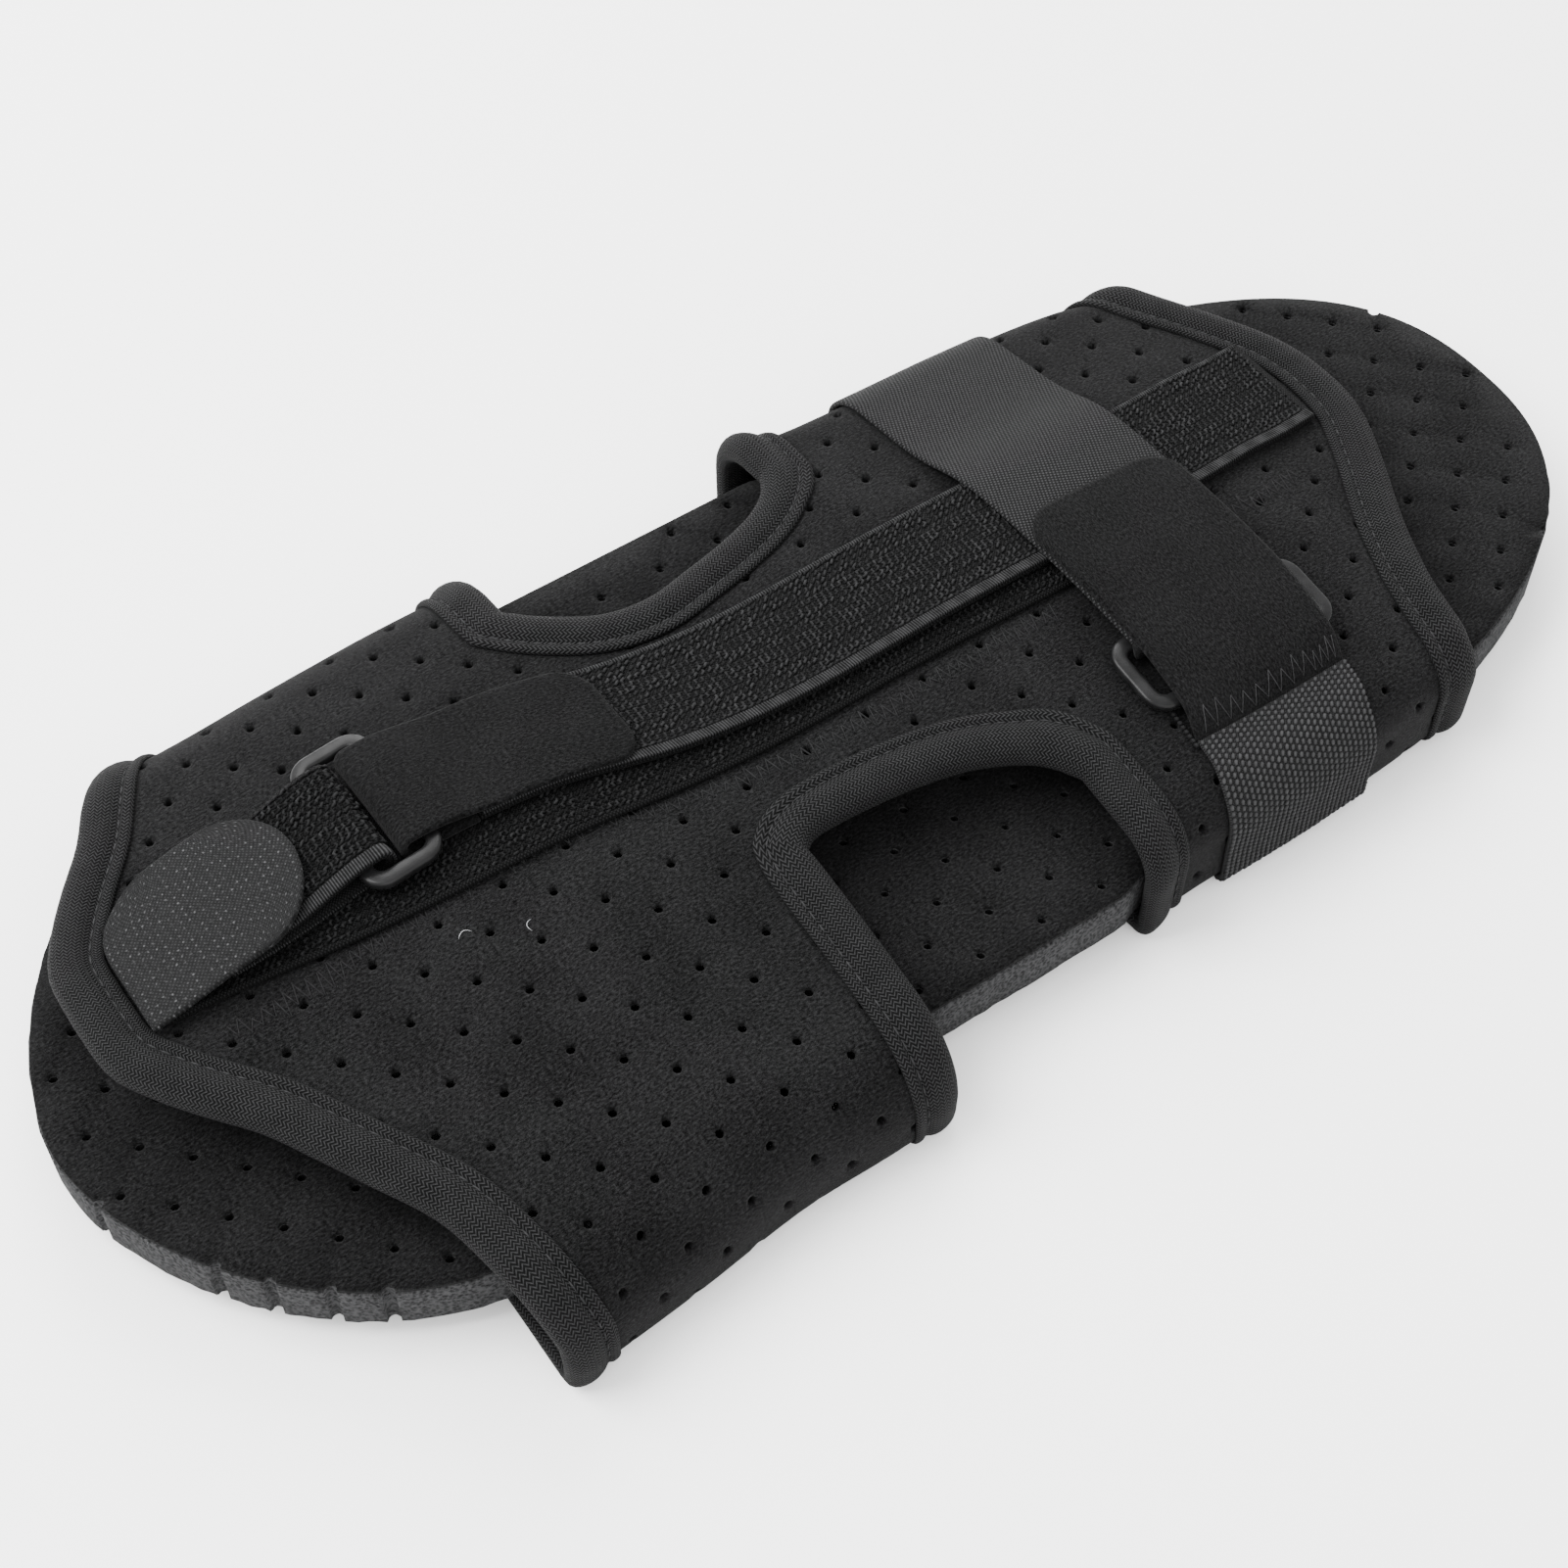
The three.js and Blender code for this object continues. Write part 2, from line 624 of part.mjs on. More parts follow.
// Binding's section: in from the cut edge, and up from the wrap's outer face
const INNER_FACE = -WRAP_WALL - GAP;
const BINDING_SECTION = [
  [BINDING_WIDTH, GAP],
  ...BEAD_SECTION.map(({ inset, height }) => [inset * BINDING_WIDTH, height * BINDING_BEAD]),
  [-TAPE - GAP, -WRAP_WALL / 2],
  [-TAPE / 2, INNER_FACE - BINDING_INSIDE],
  [BINDING_INSIDE_WIDTH, INNER_FACE - BINDING_INSIDE],
  [BINDING_INSIDE_WIDTH, INNER_FACE],
  [-GAP, INNER_FACE],
  [-GAP, GAP],
];

// Binding along a free edge, worked out in the wrap's flat pattern and flattened on the floor
function bindingSolid(nodes, loop) {
  const flat = loop.map((id) => nodes[id]);
  const step = (from, to) => {
    const girth = 2 * acrossOf(wrapSection(from.x), ZONES);
    const raw = to.across - from.across;
    const across = raw - girth * Math.round(raw / girth);
    return new THREE.Vector2(to.x - from.x, across).normalize();
  };
  const rings = flat.map((place, i) => {
    const before = step(flat[(i + flat.length - 1) % flat.length], place);
    const after = step(place, flat[(i + 1) % flat.length]);
    const along = before.clone().add(after).multiplyScalar(0.5);
    const mitre = 1 / Math.max(along.length(), MITRE_LIMIT);
    const straight = clamp((Math.abs(place.zone) - ARC_END) / EASE_ZONE, 0, 1);
    const square = new THREE.Vector2(-along.y, along.x);
    const inward = square.lerp(new THREE.Vector2(-Math.sign(along.y), 0), straight).setLength(mitre);
    return BINDING_SECTION.map(([inset, height]) => {
      const x = place.x + inset * inward.x;
      const row = acrossOf(wrapSection(x), place.zone);
      const point = onTop(x, row + inset * inward.y, height);
      return point.setZ(Math.max(point.z, 0));
    });
  });
  return loft(rings);
}

// Middle lines of what runs along the board, as the distance from the crest
function strapLine(x) {
  return STRAP_WIDTH * sample(STRAP_LINE, 'at', 'across', x / HALF_LENGTH);
}

function stripLine(x) {
  return STRAP_WIDTH * sample(STRIP_LINE, 'at', 'across', x / HALF_LENGTH);
}

// Ends of the straps, just short of the bindings
function leftStop(across) {
  return leftEdge(across) + STOP_SHARE * BINDING_WIDTH;
}

function rightStop(across) {
  return rightEdge(across) - STOP_SHARE * BINDING_WIDTH;
}

// How far a round corner draws an end back, at a share of the width
function cornerInset(share, width, radius) {
  const depth = Math.max(radius - width * Math.min(share, 1 - share), 0);
  return radius - Math.sqrt(radius * radius - depth * depth);
}

// Line through a few points, with a number of steps to each point from the one before
function stepped(points, counts) {
  return points.flatMap((to, i) => {
    if (i === 0) return [to];
    const from = points[i - 1];
    const count = counts[i - 1];
    return Array.from({ length: count }, (_, n) => {
      const t = (n + 1) / count;
      return [lerp(from[0], to[0], t), lerp(from[1], to[1], t)];
    });
  });
}

// Both faces of a strap seen from its edge, from its lower face and its thickness
function faces(lower, thickness) {
  return { lower, upper: lower.map(([place, height]) => [place, height + thickness]) };
}

// Strap along the board. Its edge view gives each face as places along X and heights above the wrap.
function longStrip(edgeView, line, width, steps) {
  const rings = Array.from({ length: steps + 1 }, (_, k) => {
    const share = k / steps;
    const { lower, upper } = edgeView(share);
    const ring = [...lower, ...upper.reverse()];
    return ring.map(([x, height]) => onTop(x, line(x) + (share - 0.5) * width, height));
  });
  return loft(rings, true);
}

// Strap across the board. Its edge view gives each face as zones round the wrap and heights above it.
function crossStrip(edgeView) {
  const rings = Array.from({ length: WIDE_STRAP_STEPS + 1 }, (_, k) => {
    const share = k / WIDE_STRAP_STEPS;
    const { lower, upper } = edgeView(share);
    return [...lower, ...upper.reverse()].map(([zone, height]) => {
      const shift = sample(WIDE_STRAP_LINE, 'zone', 'shift', zone);
      return onWrap(WIDE_STRAP_X + WIDE_STRAP_WIDTH * (shift + share - 0.5), zone, height);
    });
  });
  return loft(rings, true);
}

// Fold of a strap round a ring's bar: down the side at one place, from a lower level to an upper one.
// The lower face turns outside the upper one on the side that reach points to.
function fold(place, low, high, thickness, reach) {
  const outer = place + reach * thickness;
  const round = place + FOLD_ROUND * reach * thickness;
  return {
    inside: stepped([[place, low + thickness], [place, high]], FOLD_RUN),
    outside: [[round, low], [outer, low + thickness], [outer, high], [round, high + thickness]],
  };
}

// Stops round the wrap between two zones, close together where it bends
function zoneStops(from, to) {
  const steps = [TOP_STEPS, SHOULDER_STEPS, 1, CORNER_STEPS, UNDERSIDE_STEPS];
  const half = steps.flatMap((count, zone) => Array.from({ length: count }, (_, i) => zone + i / count));
  const low = Math.min(from, to);
  const high = Math.max(from, to);
  const all = [...half.slice(1).map((zone) => -zone), ...half];
  const between = all.filter((zone) => zone > low + STOP_MARGIN && zone < high - STOP_MARGIN);
  between.sort((a, b) => (from < to ? a - b : b - a));
  return [from, ...between, to];
}

// Line round the wrap through a few places, each a zone and a height
function zoneLine(places) {
  return places.flatMap((to, i) => {
    if (i === 0) return [to];
    const from = places[i - 1];
    return zoneStops(from[0], to[0]).slice(1).map((zone) => {
      return [zone, lerp(from[1], to[1], (zone - from[0]) / (to[0] - from[0]))];
    });
  });
}

// Rectangular ring of flat bar with round corners, bent to the wrap at its level
function ringSolid(x, across, length, width, level) {
  const path = [];
  const radius = RING_CORNER;
  for (let i = 0; i < RING_STEPS; i += 1) {
    const side = Math.floor((4 * i) / RING_STEPS);
    const turn = (Math.PI / 2) * (side + ((4 * i) / RING_STEPS - side) * (RING_STEPS / (RING_STEPS - 4)));
    const reachX = Math.sign([1, -1, -1, 1][side]) * (length / 2 - radius);
    const reachY = Math.sign([1, 1, -1, -1][side]) * (width / 2 - radius);
    path.push({ reachX, reachY, turn });
  }
  const rings = path.map(({ reachX, reachY, turn }) => {
    return RING_SECTION.map(({ inward, up }) => {
      const out = radius - inward * RING_BAR;
      const px = x + reachX + out * Math.cos(turn);
      return onTop(px, across + reachY + out * Math.sin(turn), level + up * RING_THICKNESS);
    });
  });
  return loft(rings);
}

// Materials
const cloth = (color, roughness) => new THREE.MeshStandardMaterial({ color, roughness, metalness: 0 });
const FLOCK = cloth(0x1a1a1b, 1);
const FOAM = cloth(0x3a3b3d, 0.95);
const BINDING = cloth(0x2b2b2d, 0.9);
const LOOP_PILE = cloth(0x171718, 1);
const VELVET = cloth(0x1f1f20, 1);
const GREY_WEAVE = cloth(0x3c3c3e, 0.85);
const WEBBING = cloth(0x2d2d2f, 0.85);
const PLASTIC = cloth(0x202022, 0.4);

const orthosis = new THREE.Group();

function add(name, geometry, material) {
  const mesh = new THREE.Mesh(geometry, material);
  mesh.name = name;
  orthosis.add(mesh);
}

function addBoard() {
  const coreBottom = PAD_BASE + BOTTOM_COVER_THICKNESS + GAP;
  const coreTop = PAD_TOP - COVER_THICKNESS - GAP;
  add('pad_bottom_cover', padLayer(PAD_BASE, PAD_BASE + BOTTOM_COVER_THICKNESS), FLOCK);
  add('pad_core', padLayer(coreBottom, coreTop), FOAM);
  add('pad_top_cover', padLayer(PAD_TOP - COVER_THICKNESS, PAD_TOP), FLOCK);
}

function addWrap() {
  const grid = wrapGrid();
  const loops = freeEdges(grid.cells);
  const middle = (loop) => loop.reduce((sum, id) => sum + grid.nodes[id].x, 0) / loop.length;
  const names = ['left_end_binding', 'side_opening_binding', 'right_end_binding'];
  add('wrap', wrapSolid(grid, loops), FLOCK);
  loops.sort((a, b) => middle(a) - middle(b));
  loops.forEach((loop, i) => add(names[i], bindingSolid(grid.nodes, loop), BINDING));
}

function addLoopStrip() {
  const view = (share) => {
    const side = (share - 0.5) * LOOP_STRIP_WIDTH;
    const start = leftStop(stripLine(-LEFT_BAND_END - LEFT_TONGUE) + side);
    const lower = stepped([[start, STRIP_LEVEL], [LOOP_STRIP_END, STRIP_LEVEL]], LOOP_STRIP_RUN);
    return faces(lower, LOOP_STRIP_THICKNESS);
  };
  add('base_loop_strip', longStrip(view, stripLine, LOOP_STRIP_WIDTH, STRIP_ACROSS_STEPS), LOOP_PILE);
}

function addLongStrap() {
  const ringRight = SMALL_RING_X + SMALL_RING_LENGTH / 2;
  const ringLeft = SMALL_RING_X - SMALL_RING_LENGTH / 2;
  const legEnd = ringRight + TAB_LEG;
  const strap = (share) => {
    const end = rightStop(strapLine(RIGHT_BAND_END) + (share - 0.5) * STRAP_WIDTH);
    const lower = [
      [legEnd + GAP, STRAP_LEVEL],
      [LOOP_STRIP_END + GAP, STRAP_LEVEL],
      [LOOP_STRIP_END + STRAP_THICKNESS * RAMP, STRIP_LEVEL],
      [end, STRIP_LEVEL],
    ];
    return faces(stepped(lower, STRAP_RUN), STRAP_THICKNESS);
  };
  const rest = STRAP_LEVEL + STRAP_THICKNESS + GAP;
  const tab = (share) => {
    const tip = ringRight + TAB_LENGTH - cornerInset(share, STRAP_WIDTH, TAB_CORNER);
    const turn = fold(ringRight - RING_BAR - FOLD_GAP, STRAP_LEVEL, TAB_LEVEL, TAB_THICKNESS, -1);
    const run = [[ringRight, TAB_LEVEL], [ringRight + TAB_DROP, rest], [tip, rest]];
    const end = faces(stepped(run, TAB_RUN), TAB_THICKNESS);
    return {
      lower: [[legEnd, STRAP_LEVEL + TAB_THICKNESS], ...turn.inside, ...end.lower],
      upper: [[legEnd, STRAP_LEVEL], ...turn.outside, ...end.upper],
    };
  };
  const holderRest = STRAP_LEVEL + TAB_THICKNESS + GAP;
  const holder = () => {
    const turn = fold(ringLeft + RING_BAR + FOLD_GAP, STRAP_LEVEL, TAB_LEVEL, TAB_THICKNESS, 1);
    const leg = [[HOLDER_END - HOLDER_LAP, STRAP_LEVEL], [ringLeft, STRAP_LEVEL]];
    const under = faces(stepped(leg, HOLDER_LEG_RUN), TAB_THICKNESS);
    const drop = [[ringLeft, TAB_LEVEL], [ringLeft - HOLDER_DROP, holderRest], [HOLDER_END, holderRest]];
    const over = faces(stepped(drop, HOLDER_TOP_RUN), TAB_THICKNESS);
    return {
      lower: [...under.upper, ...turn.inside, ...over.lower],
      upper: [...under.lower, ...turn.outside, ...over.upper],
    };
  };
  const width = STRAP_WIDTH;
  add('long_strap', longStrip(strap, strapLine, width, STRIP_ACROSS_STEPS), LOOP_PILE);
  add('long_strap_tab', longStrip(tab, strapLine, width, TAB_ACROSS_STEPS), VELVET);
  add('ring_loop_strap', longStrip(holder, strapLine, width, STRIP_ACROSS_STEPS), LOOP_PILE);
  const across = strapLine(SMALL_RING_X);
  const ring = ringSolid(SMALL_RING_X, across, SMALL_RING_LENGTH, SMALL_RING_WIDTH, SMALL_RING_LEVEL);
  add('small_ring', ring, PLASTIC);
}

function addPatch() {
  const tip = SMALL_RING_X - SMALL_RING_LENGTH / 2 - PATCH_SETBACK;
  const holderTop = STRAP_LEVEL + TAB_THICKNESS + STRAP_THICKNESS + 2 * GAP;
  const view = (share) => {
    const side = (share - 0.5) * PATCH_WIDTH;
    const end = tip - cornerInset(share, PATCH_WIDTH, PATCH_WIDTH / 2);
    const start = leftStop(strapLine(-LEFT_BAND_END - LEFT_TONGUE) + side);
    const lower = [
      [start, STRAP_LEVEL],
      [start + PATCH_FOOT, STRAP_LEVEL],
      [HOLDER_END - GAP, holderTop],
      [end, holderTop + PATCH_TIP_RISE],
    ];
    return faces(stepped(lower, PATCH_RUN), PATCH_THICKNESS);
  };
  add('hook_patch', longStrip(view, strapLine, PATCH_WIDTH, TAB_ACROSS_STEPS), GREY_WEAVE);
}

function addWideStrap() {
  const middle = wrapSection(WIDE_STRAP_X);
  const zone = (across) => zoneOf(middle, across);
  const seam = ZONES - GAP / middle.lengths[ZONES - 1];
  const strapTop = strapLine(WIDE_STRAP_X) + STRAP_WIDTH / 2;
  const barInside = LARGE_RING_ACROSS + LARGE_RING_WIDTH / 2 - RING_BAR;
  const thick = WIDE_STRAP_THICKNESS;
  const strap = () => {
    const run = zoneLine([
      [seam, GAP],
      [zone(strapTop + thick * RAMP + GAP), GAP],
      [zone(strapTop + GAP), WIDE_TOP_LEVEL],
      [zone(barInside + RING_BAR), WIDE_TOP_LEVEL],
    ]);
    const over = faces(run, thick);
    const leg = faces([[zone(barInside + RING_BAR), GAP], [zone(barInside + WIDE_LEG), GAP]], thick);
    const turn = fold(zone(barInside - FOLD_GAP), GAP, WIDE_TOP_LEVEL, thick, -1 / middle.lengths[0]);
    return {
      lower: [...over.lower, ...turn.inside.reverse(), ...leg.upper],
      upper: [...over.upper, ...turn.outside.reverse(), ...leg.lower],
    };
  };
  const ringFoot = LARGE_RING_ACROSS - LARGE_RING_WIDTH / 2;
  const step = barInside - thick - FOLD_GAP - GAP;
  const tab = (share) => {
    const inset = cornerInset(share, WIDE_STRAP_WIDTH, WIDE_TAB_CORNER);
    const run = zoneLine([
      [zone(WEBBING_TOP), GAP],
      [zone(ringFoot - RING_THICKNESS), WIDE_TOP_LEVEL],
      [zone(step - WIDE_TAB_THICKNESS), WIDE_TOP_LEVEL],
      [zone(step), WIDE_TAB_LEVEL],
      [zone(WIDE_TAB_END - WIDE_TAB_CORNER - GAP), WIDE_TAB_LEVEL],
    ]);
    return faces([...run, [zone(WIDE_TAB_END - inset), WIDE_TAB_LEVEL]], WIDE_TAB_THICKNESS);
  };
  const webbing = () => {
    return faces(zoneLine([[zone(WEBBING_TOP - GAP), GAP], [-seam, GAP]]), thick);
  };
  add('wide_strap', crossStrip(strap), GREY_WEAVE);
  add('wide_strap_tab', crossStrip(tab), VELVET);
  add('front_webbing', crossStrip(webbing), WEBBING);
  const ringX = WIDE_STRAP_X + WIDE_STRAP_WIDTH * sample(WIDE_STRAP_LINE, 'zone', 'shift', zone(ringFoot));
  const across = LARGE_RING_ACROSS;
  const ring = ringSolid(ringX, across, LARGE_RING_LENGTH, LARGE_RING_WIDTH, LARGE_RING_LEVEL);
  add('large_ring', ring, PLASTIC);
}

addBoard();
addWrap();
addLoopStrip();
addLongStrap();
addPatch();
addWideStrap();

// The origin is on the floor, under the middle of the whole
orthosis.updateMatrixWorld(true);
const box = new THREE.Box3().setFromObject(orthosis);
orthosis.position.set(-(box.min.x + box.max.x) / 2, -(box.min.y + box.max.y) / 2, -box.min.z);

export default orthosis;
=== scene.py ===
import math
import random

import bmesh
import bpy
import numpy as np
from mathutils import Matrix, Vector
from mathutils.geometry import delaunay_2d_cdt

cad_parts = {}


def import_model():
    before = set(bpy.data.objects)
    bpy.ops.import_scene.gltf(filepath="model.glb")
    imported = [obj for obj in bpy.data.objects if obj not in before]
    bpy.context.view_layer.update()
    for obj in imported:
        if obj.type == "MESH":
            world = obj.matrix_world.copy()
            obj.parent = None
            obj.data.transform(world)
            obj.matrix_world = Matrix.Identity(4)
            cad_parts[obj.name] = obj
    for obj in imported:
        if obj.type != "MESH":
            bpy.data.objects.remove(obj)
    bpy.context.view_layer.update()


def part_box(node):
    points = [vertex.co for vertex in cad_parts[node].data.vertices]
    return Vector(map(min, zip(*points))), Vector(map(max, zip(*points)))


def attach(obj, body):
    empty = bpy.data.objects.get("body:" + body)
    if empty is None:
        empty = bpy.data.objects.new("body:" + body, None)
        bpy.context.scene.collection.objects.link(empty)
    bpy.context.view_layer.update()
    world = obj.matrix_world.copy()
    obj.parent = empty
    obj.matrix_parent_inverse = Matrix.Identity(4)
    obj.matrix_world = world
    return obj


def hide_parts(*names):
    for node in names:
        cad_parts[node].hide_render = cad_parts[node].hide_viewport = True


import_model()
MM = 0.001

# Driving sizes, the same as the solids'
GAP = 0.3
PAD_LENGTH = 339
PAD_WIDTH = 127
PAD_THICKNESS = 12
COVER_THICKNESS = 1
BOTTOM_COVER_THICKNESS = 0.6
LEFT_END_LENGTH = 58.4
LEFT_END_POWER = 1.71
RIGHT_END_LENGTH = 121.7
RIGHT_END_POWER = 2.4
PAD_SQUEEZE = 3
WRAP_WALL = 2.2
WRAP_CREST = 31.8
WRAP_SLACK = 10
SHOULDER_RADIUS = 18
FLOOR_CORNER_RADIUS = 3.4
LEFT_BAND_END = 115
LEFT_TONGUE = 41
LEFT_TONGUE_SPREAD = 100
LEFT_TONGUE_CENTRE = 19
RIGHT_BAND_END = 111
RIGHT_TONGUE = 23
RIGHT_TONGUE_SPREAD = 70
RIGHT_TONGUE_CENTRE = 12
FRONT_OPENING_LEFT = 28
FRONT_OPENING_RIGHT = 24
FRONT_OPENING_DEPTH = 25
FRONT_OPENING_DROP = 18
BACK_OPENING_LEFT = 44
BACK_OPENING_RIGHT = 17
BACK_OPENING_DEPTH = 41
BACK_OPENING_DROP = 11
TAPE = 1.2
BINDING_WIDTH = 9
BINDING_INSIDE = 0.5
STRAP_WIDTH = 26
STRAP_THICKNESS = 1.8
LOOP_STRIP_WIDTH = 25
LOOP_STRIP_THICKNESS = 1.4
LOOP_STRIP_END = 62
TAB_THICKNESS = 1.5
TAB_LENGTH = 41
TAB_CORNER = 7
TAB_LEG = 8
TAB_DROP = 12
HOLDER_END = -125
HOLDER_LAP = 4
HOLDER_DROP = 14
RAMP = 5
STOP_SHARE = 1.25
FOLD_GAP = 3 * GAP
RING_BAR = 3.2
RING_THICKNESS = 2.2
RING_CORNER = 5
SMALL_RING_LENGTH = 17
SMALL_RING_WIDTH = 35
SMALL_RING_X = -92
LARGE_RING_LENGTH = 46
LARGE_RING_WIDTH = 18
LARGE_RING_ACROSS = -35
PATCH_THICKNESS = 1.4
PATCH_WIDTH = 30
PATCH_SETBACK = 9
PATCH_FOOT = 2
PATCH_TIP_RISE = 1.5
WIDE_STRAP_WIDTH = 37
WIDE_STRAP_X = 65.5
WIDE_STRAP_THICKNESS = 1.2
WIDE_TAB_THICKNESS = 1.5
WIDE_LEG = 13
WIDE_TAB_END = 6
WIDE_TAB_CORNER = 8
WEBBING_TOP = -51

HALF_LENGTH = PAD_LENGTH / 2
HALF_WIDTH = PAD_WIDTH / 2
WRAP_BASE = WIDE_STRAP_THICKNESS + GAP
BOARD_ROOM = BINDING_INSIDE + 2 * GAP
PAD_BASE = WRAP_BASE + WRAP_WALL + BOARD_ROOM
PAD_TOP = PAD_BASE + PAD_THICKNESS
STRIP_LEVEL = GAP
STRAP_LEVEL = STRIP_LEVEL + LOOP_STRIP_THICKNESS + GAP
SMALL_RING_LEVEL = STRAP_LEVEL + TAB_THICKNESS + GAP
TAB_LEVEL = SMALL_RING_LEVEL + RING_THICKNESS + GAP
LARGE_RING_LEVEL = GAP + WIDE_STRAP_THICKNESS + GAP
WIDE_TOP_LEVEL = LARGE_RING_LEVEL + RING_THICKNESS + GAP
WIDE_TAB_LEVEL = WIDE_TOP_LEVEL + WIDE_STRAP_THICKNESS + GAP
EDGE_INSET = TAPE + GAP

# The middle of the board is the middle of its own box
SHIFT_Y = sum(corner.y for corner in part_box("pad_core")) / 2 / MM


def columns(names, *rows):
    return dict(zip(names.split(), np.array(rows, float).T))


# Sections of the wrap along the board, as shares of the sizes above
SECTIONS = columns(
    "at slack shift crest shoulder side",
    (-1.0, 0.94, -0.1, 1.0, 1.0, 0.54),
    (-0.68, 0.95, -0.096, 1.0, 1.0, 0.54),
    (-0.52, 0.945, -0.067, 1.0, 1.0, 0.54),
    (-0.37, 0.86, -0.035, 1.0, 1.0, 0.54),
    (-0.22, 0.82, -0.038, 1.0, 0.95, 0.57),
    (-0.12, 0.6, -0.03, 1.0, 0.85, 0.65),
    (0.13, 0.22, 0.02, 1.0, 0.62, 1.0),
    (0.36, 0.17, 0.024, 1.0, 0.6, 0.97),
    (0.585, 0.15, 0.02, 0.95, 0.55, 0.95),
    (0.67, 0.14, 0.006, 0.89, 0.5, 0.95),
    (0.83, 0.7, 0.0, 0.81, 0.4, 0.85),
)
SQUEEZE = columns("at depth", (0.12, 0), (0.18, 1), (0.42, 1), (0.55, 0.7), (0.64, 0.4), (0.68, 0))
LEFT_TONGUE_SHAPE = columns(
    "off reach", (0, 1), (0.12, 0.98), (0.2, 0.88), (0.28, 0.74), (0.36, 0.585), (0.45, 0.46),
    (0.54, 0.34), (0.67, 0.17), (0.8, 0.09), (1, 0),
)
RIGHT_TONGUE_SHAPE = columns(
    "off reach", (0, 1), (0.08, 0.99), (0.2, 0.91), (0.37, 0.67), (0.54, 0.4), (0.66, 0.24),
    (0.8, 0.1), (1, 0),
)
FRONT_OPENING_SHAPE = columns(
    "along drop", (0, 0.14), (0.05, 0.03), (0.14, 0), (0.32, 0.06), (0.5, 0.17), (0.68, 0.34),
    (0.84, 0.6), (0.94, 0.86), (1, 1.15),
)
BACK_OPENING_SHAPE = columns(
    "along drop", (0, 1.4), (0.1, 0.8), (0.24, 0.22), (0.4, 0), (0.56, 0.08), (0.72, 0.2),
    (0.86, 0.42), (0.96, 0.8), (1, 1.2),
)
STRAP_LINE = columns(
    "at across", (-1, 0.85), (-0.72, 0.91), (-0.54, 0.98), (-0.36, 0.84), (-0.2, 0.59), (0, 0.42),
    (0.29, 0.37), (0.53, 0.42), (0.73, 0.58),
)
STRIP_LINE = columns(
    "at across", (-1, 0.88), (-0.77, 0.82), (-0.55, 0.62), (-0.24, 0.38), (0.15, 0.19), (0.4, 0.15),
)
WIDE_STRAP_LINE = columns(
    "zone shift", (-5, 0), (-3, -0.07), (-1.5, -0.06), (-0.6, 0.02), (0, 0), (0.9, -0.07),
    (2, -0.08), (5, 0),
)

# Zones round the wrap, counted from the crest and negative on the near side
ARC_END = 1
SIDE_END = 3
CORNER_END = 4
ZONES = 5
EASE_ZONE = 0.9
EDGE_ROUNDS = 12
EDGE_EASE = 0.6
UNDULATION = 0.35
UNDULATION_REACH = 70

# Perforations, on a square grid that stands on its corner
HOLE_CELL = 13.98
HOLE_RADIUS = 0.95
HOLE_SIDES = 8
HOLE_TURN = -0.02
HOLE_OFFSET = (-2.2, -23.5)
HOLE_MARGIN = 1.6
HOLE_COLLAR = 1.75
HOLE_CORE = 0.92
GRID_CLEARANCE = 1.3
HOLE_DIP = 0.35


# Curves and surfaces


def sample(table, key, column, place):
    """Value of a table's column at each place, on a smooth curve through the rows."""
    at, value = table[key], table[column]
    place = np.clip(np.asarray(place, float), at[0], at[-1])
    row = np.clip(np.searchsorted(at, place, "right") - 1, 0, len(at) - 2)
    step = np.diff(value) / np.diff(at)
    middle = (value[2:] - value[:-2]) / (at[2:] - at[:-2])
    tangent = np.concatenate([step[:1], middle, step[-1:]])
    span = at[row + 1] - at[row]
    t = (place - at[row]) / span
    blend = t * t * (3 - 2 * t)
    leave = t * (1 - t) ** 2 * span * tangent[row]
    arrive = t * t * (1 - t) * span * tangent[row + 1]
    return value[row] + (value[row + 1] - value[row]) * blend + leave - arrive


def pad_half_width(x):
    left = np.clip((-HALF_LENGTH + LEFT_END_LENGTH - x) / LEFT_END_LENGTH, 0, 1)
    right = np.clip((x - HALF_LENGTH + RIGHT_END_LENGTH) / RIGHT_END_LENGTH, 0, 1)
    left_share = (1 - left**LEFT_END_POWER) ** (1 / LEFT_END_POWER)
    right_share = (1 - right**RIGHT_END_POWER) ** (1 / RIGHT_END_POWER)
    squeeze = PAD_SQUEEZE * sample(SQUEEZE, "at", "depth", x / HALF_LENGTH)
    return HALF_WIDTH * left_share * right_share - squeeze


def wrap_section(x):
    """Section of the wrap's outer face: a wide arc, a shoulder, an upright side and a small corner."""
    x = np.asarray(x, float)

    def share(column):
        return sample(SECTIONS, "at", column, x / HALF_LENGTH)

    board = pad_half_width(np.maximum(x, LEFT_END_LENGTH - HALF_LENGTH))
    half = board + BOARD_ROOM + WRAP_WALL + WRAP_SLACK * share("slack")
    crest = WRAP_CREST * share("crest")
    shoulder = SHOULDER_RADIUS * share("shoulder")
    side_top = PAD_TOP * share("side")
    reach = half - shoulder
    rise = crest - side_top - shoulder
    offset = (reach**2 + rise**2) / (2 * rise)
    angle = np.arcsin(reach / offset)
    top = offset + shoulder
    corner_top = np.full_like(half, WRAP_BASE + FLOOR_CORNER_RADIUS)
    lengths = np.array([
        top * angle,
        shoulder * (math.pi / 2 - angle),
        side_top - corner_top,
        np.full_like(half, FLOOR_CORNER_RADIUS * math.pi / 2),
        half - FLOOR_CORNER_RADIUS,
    ])
    return {
        "half": half, "crest": crest, "top": top, "angle": angle, "shoulder": shoulder,
        "side_top": side_top, "corner_top": corner_top, "lengths": lengths,
        "shift": HALF_WIDTH * share("shift"),
    }


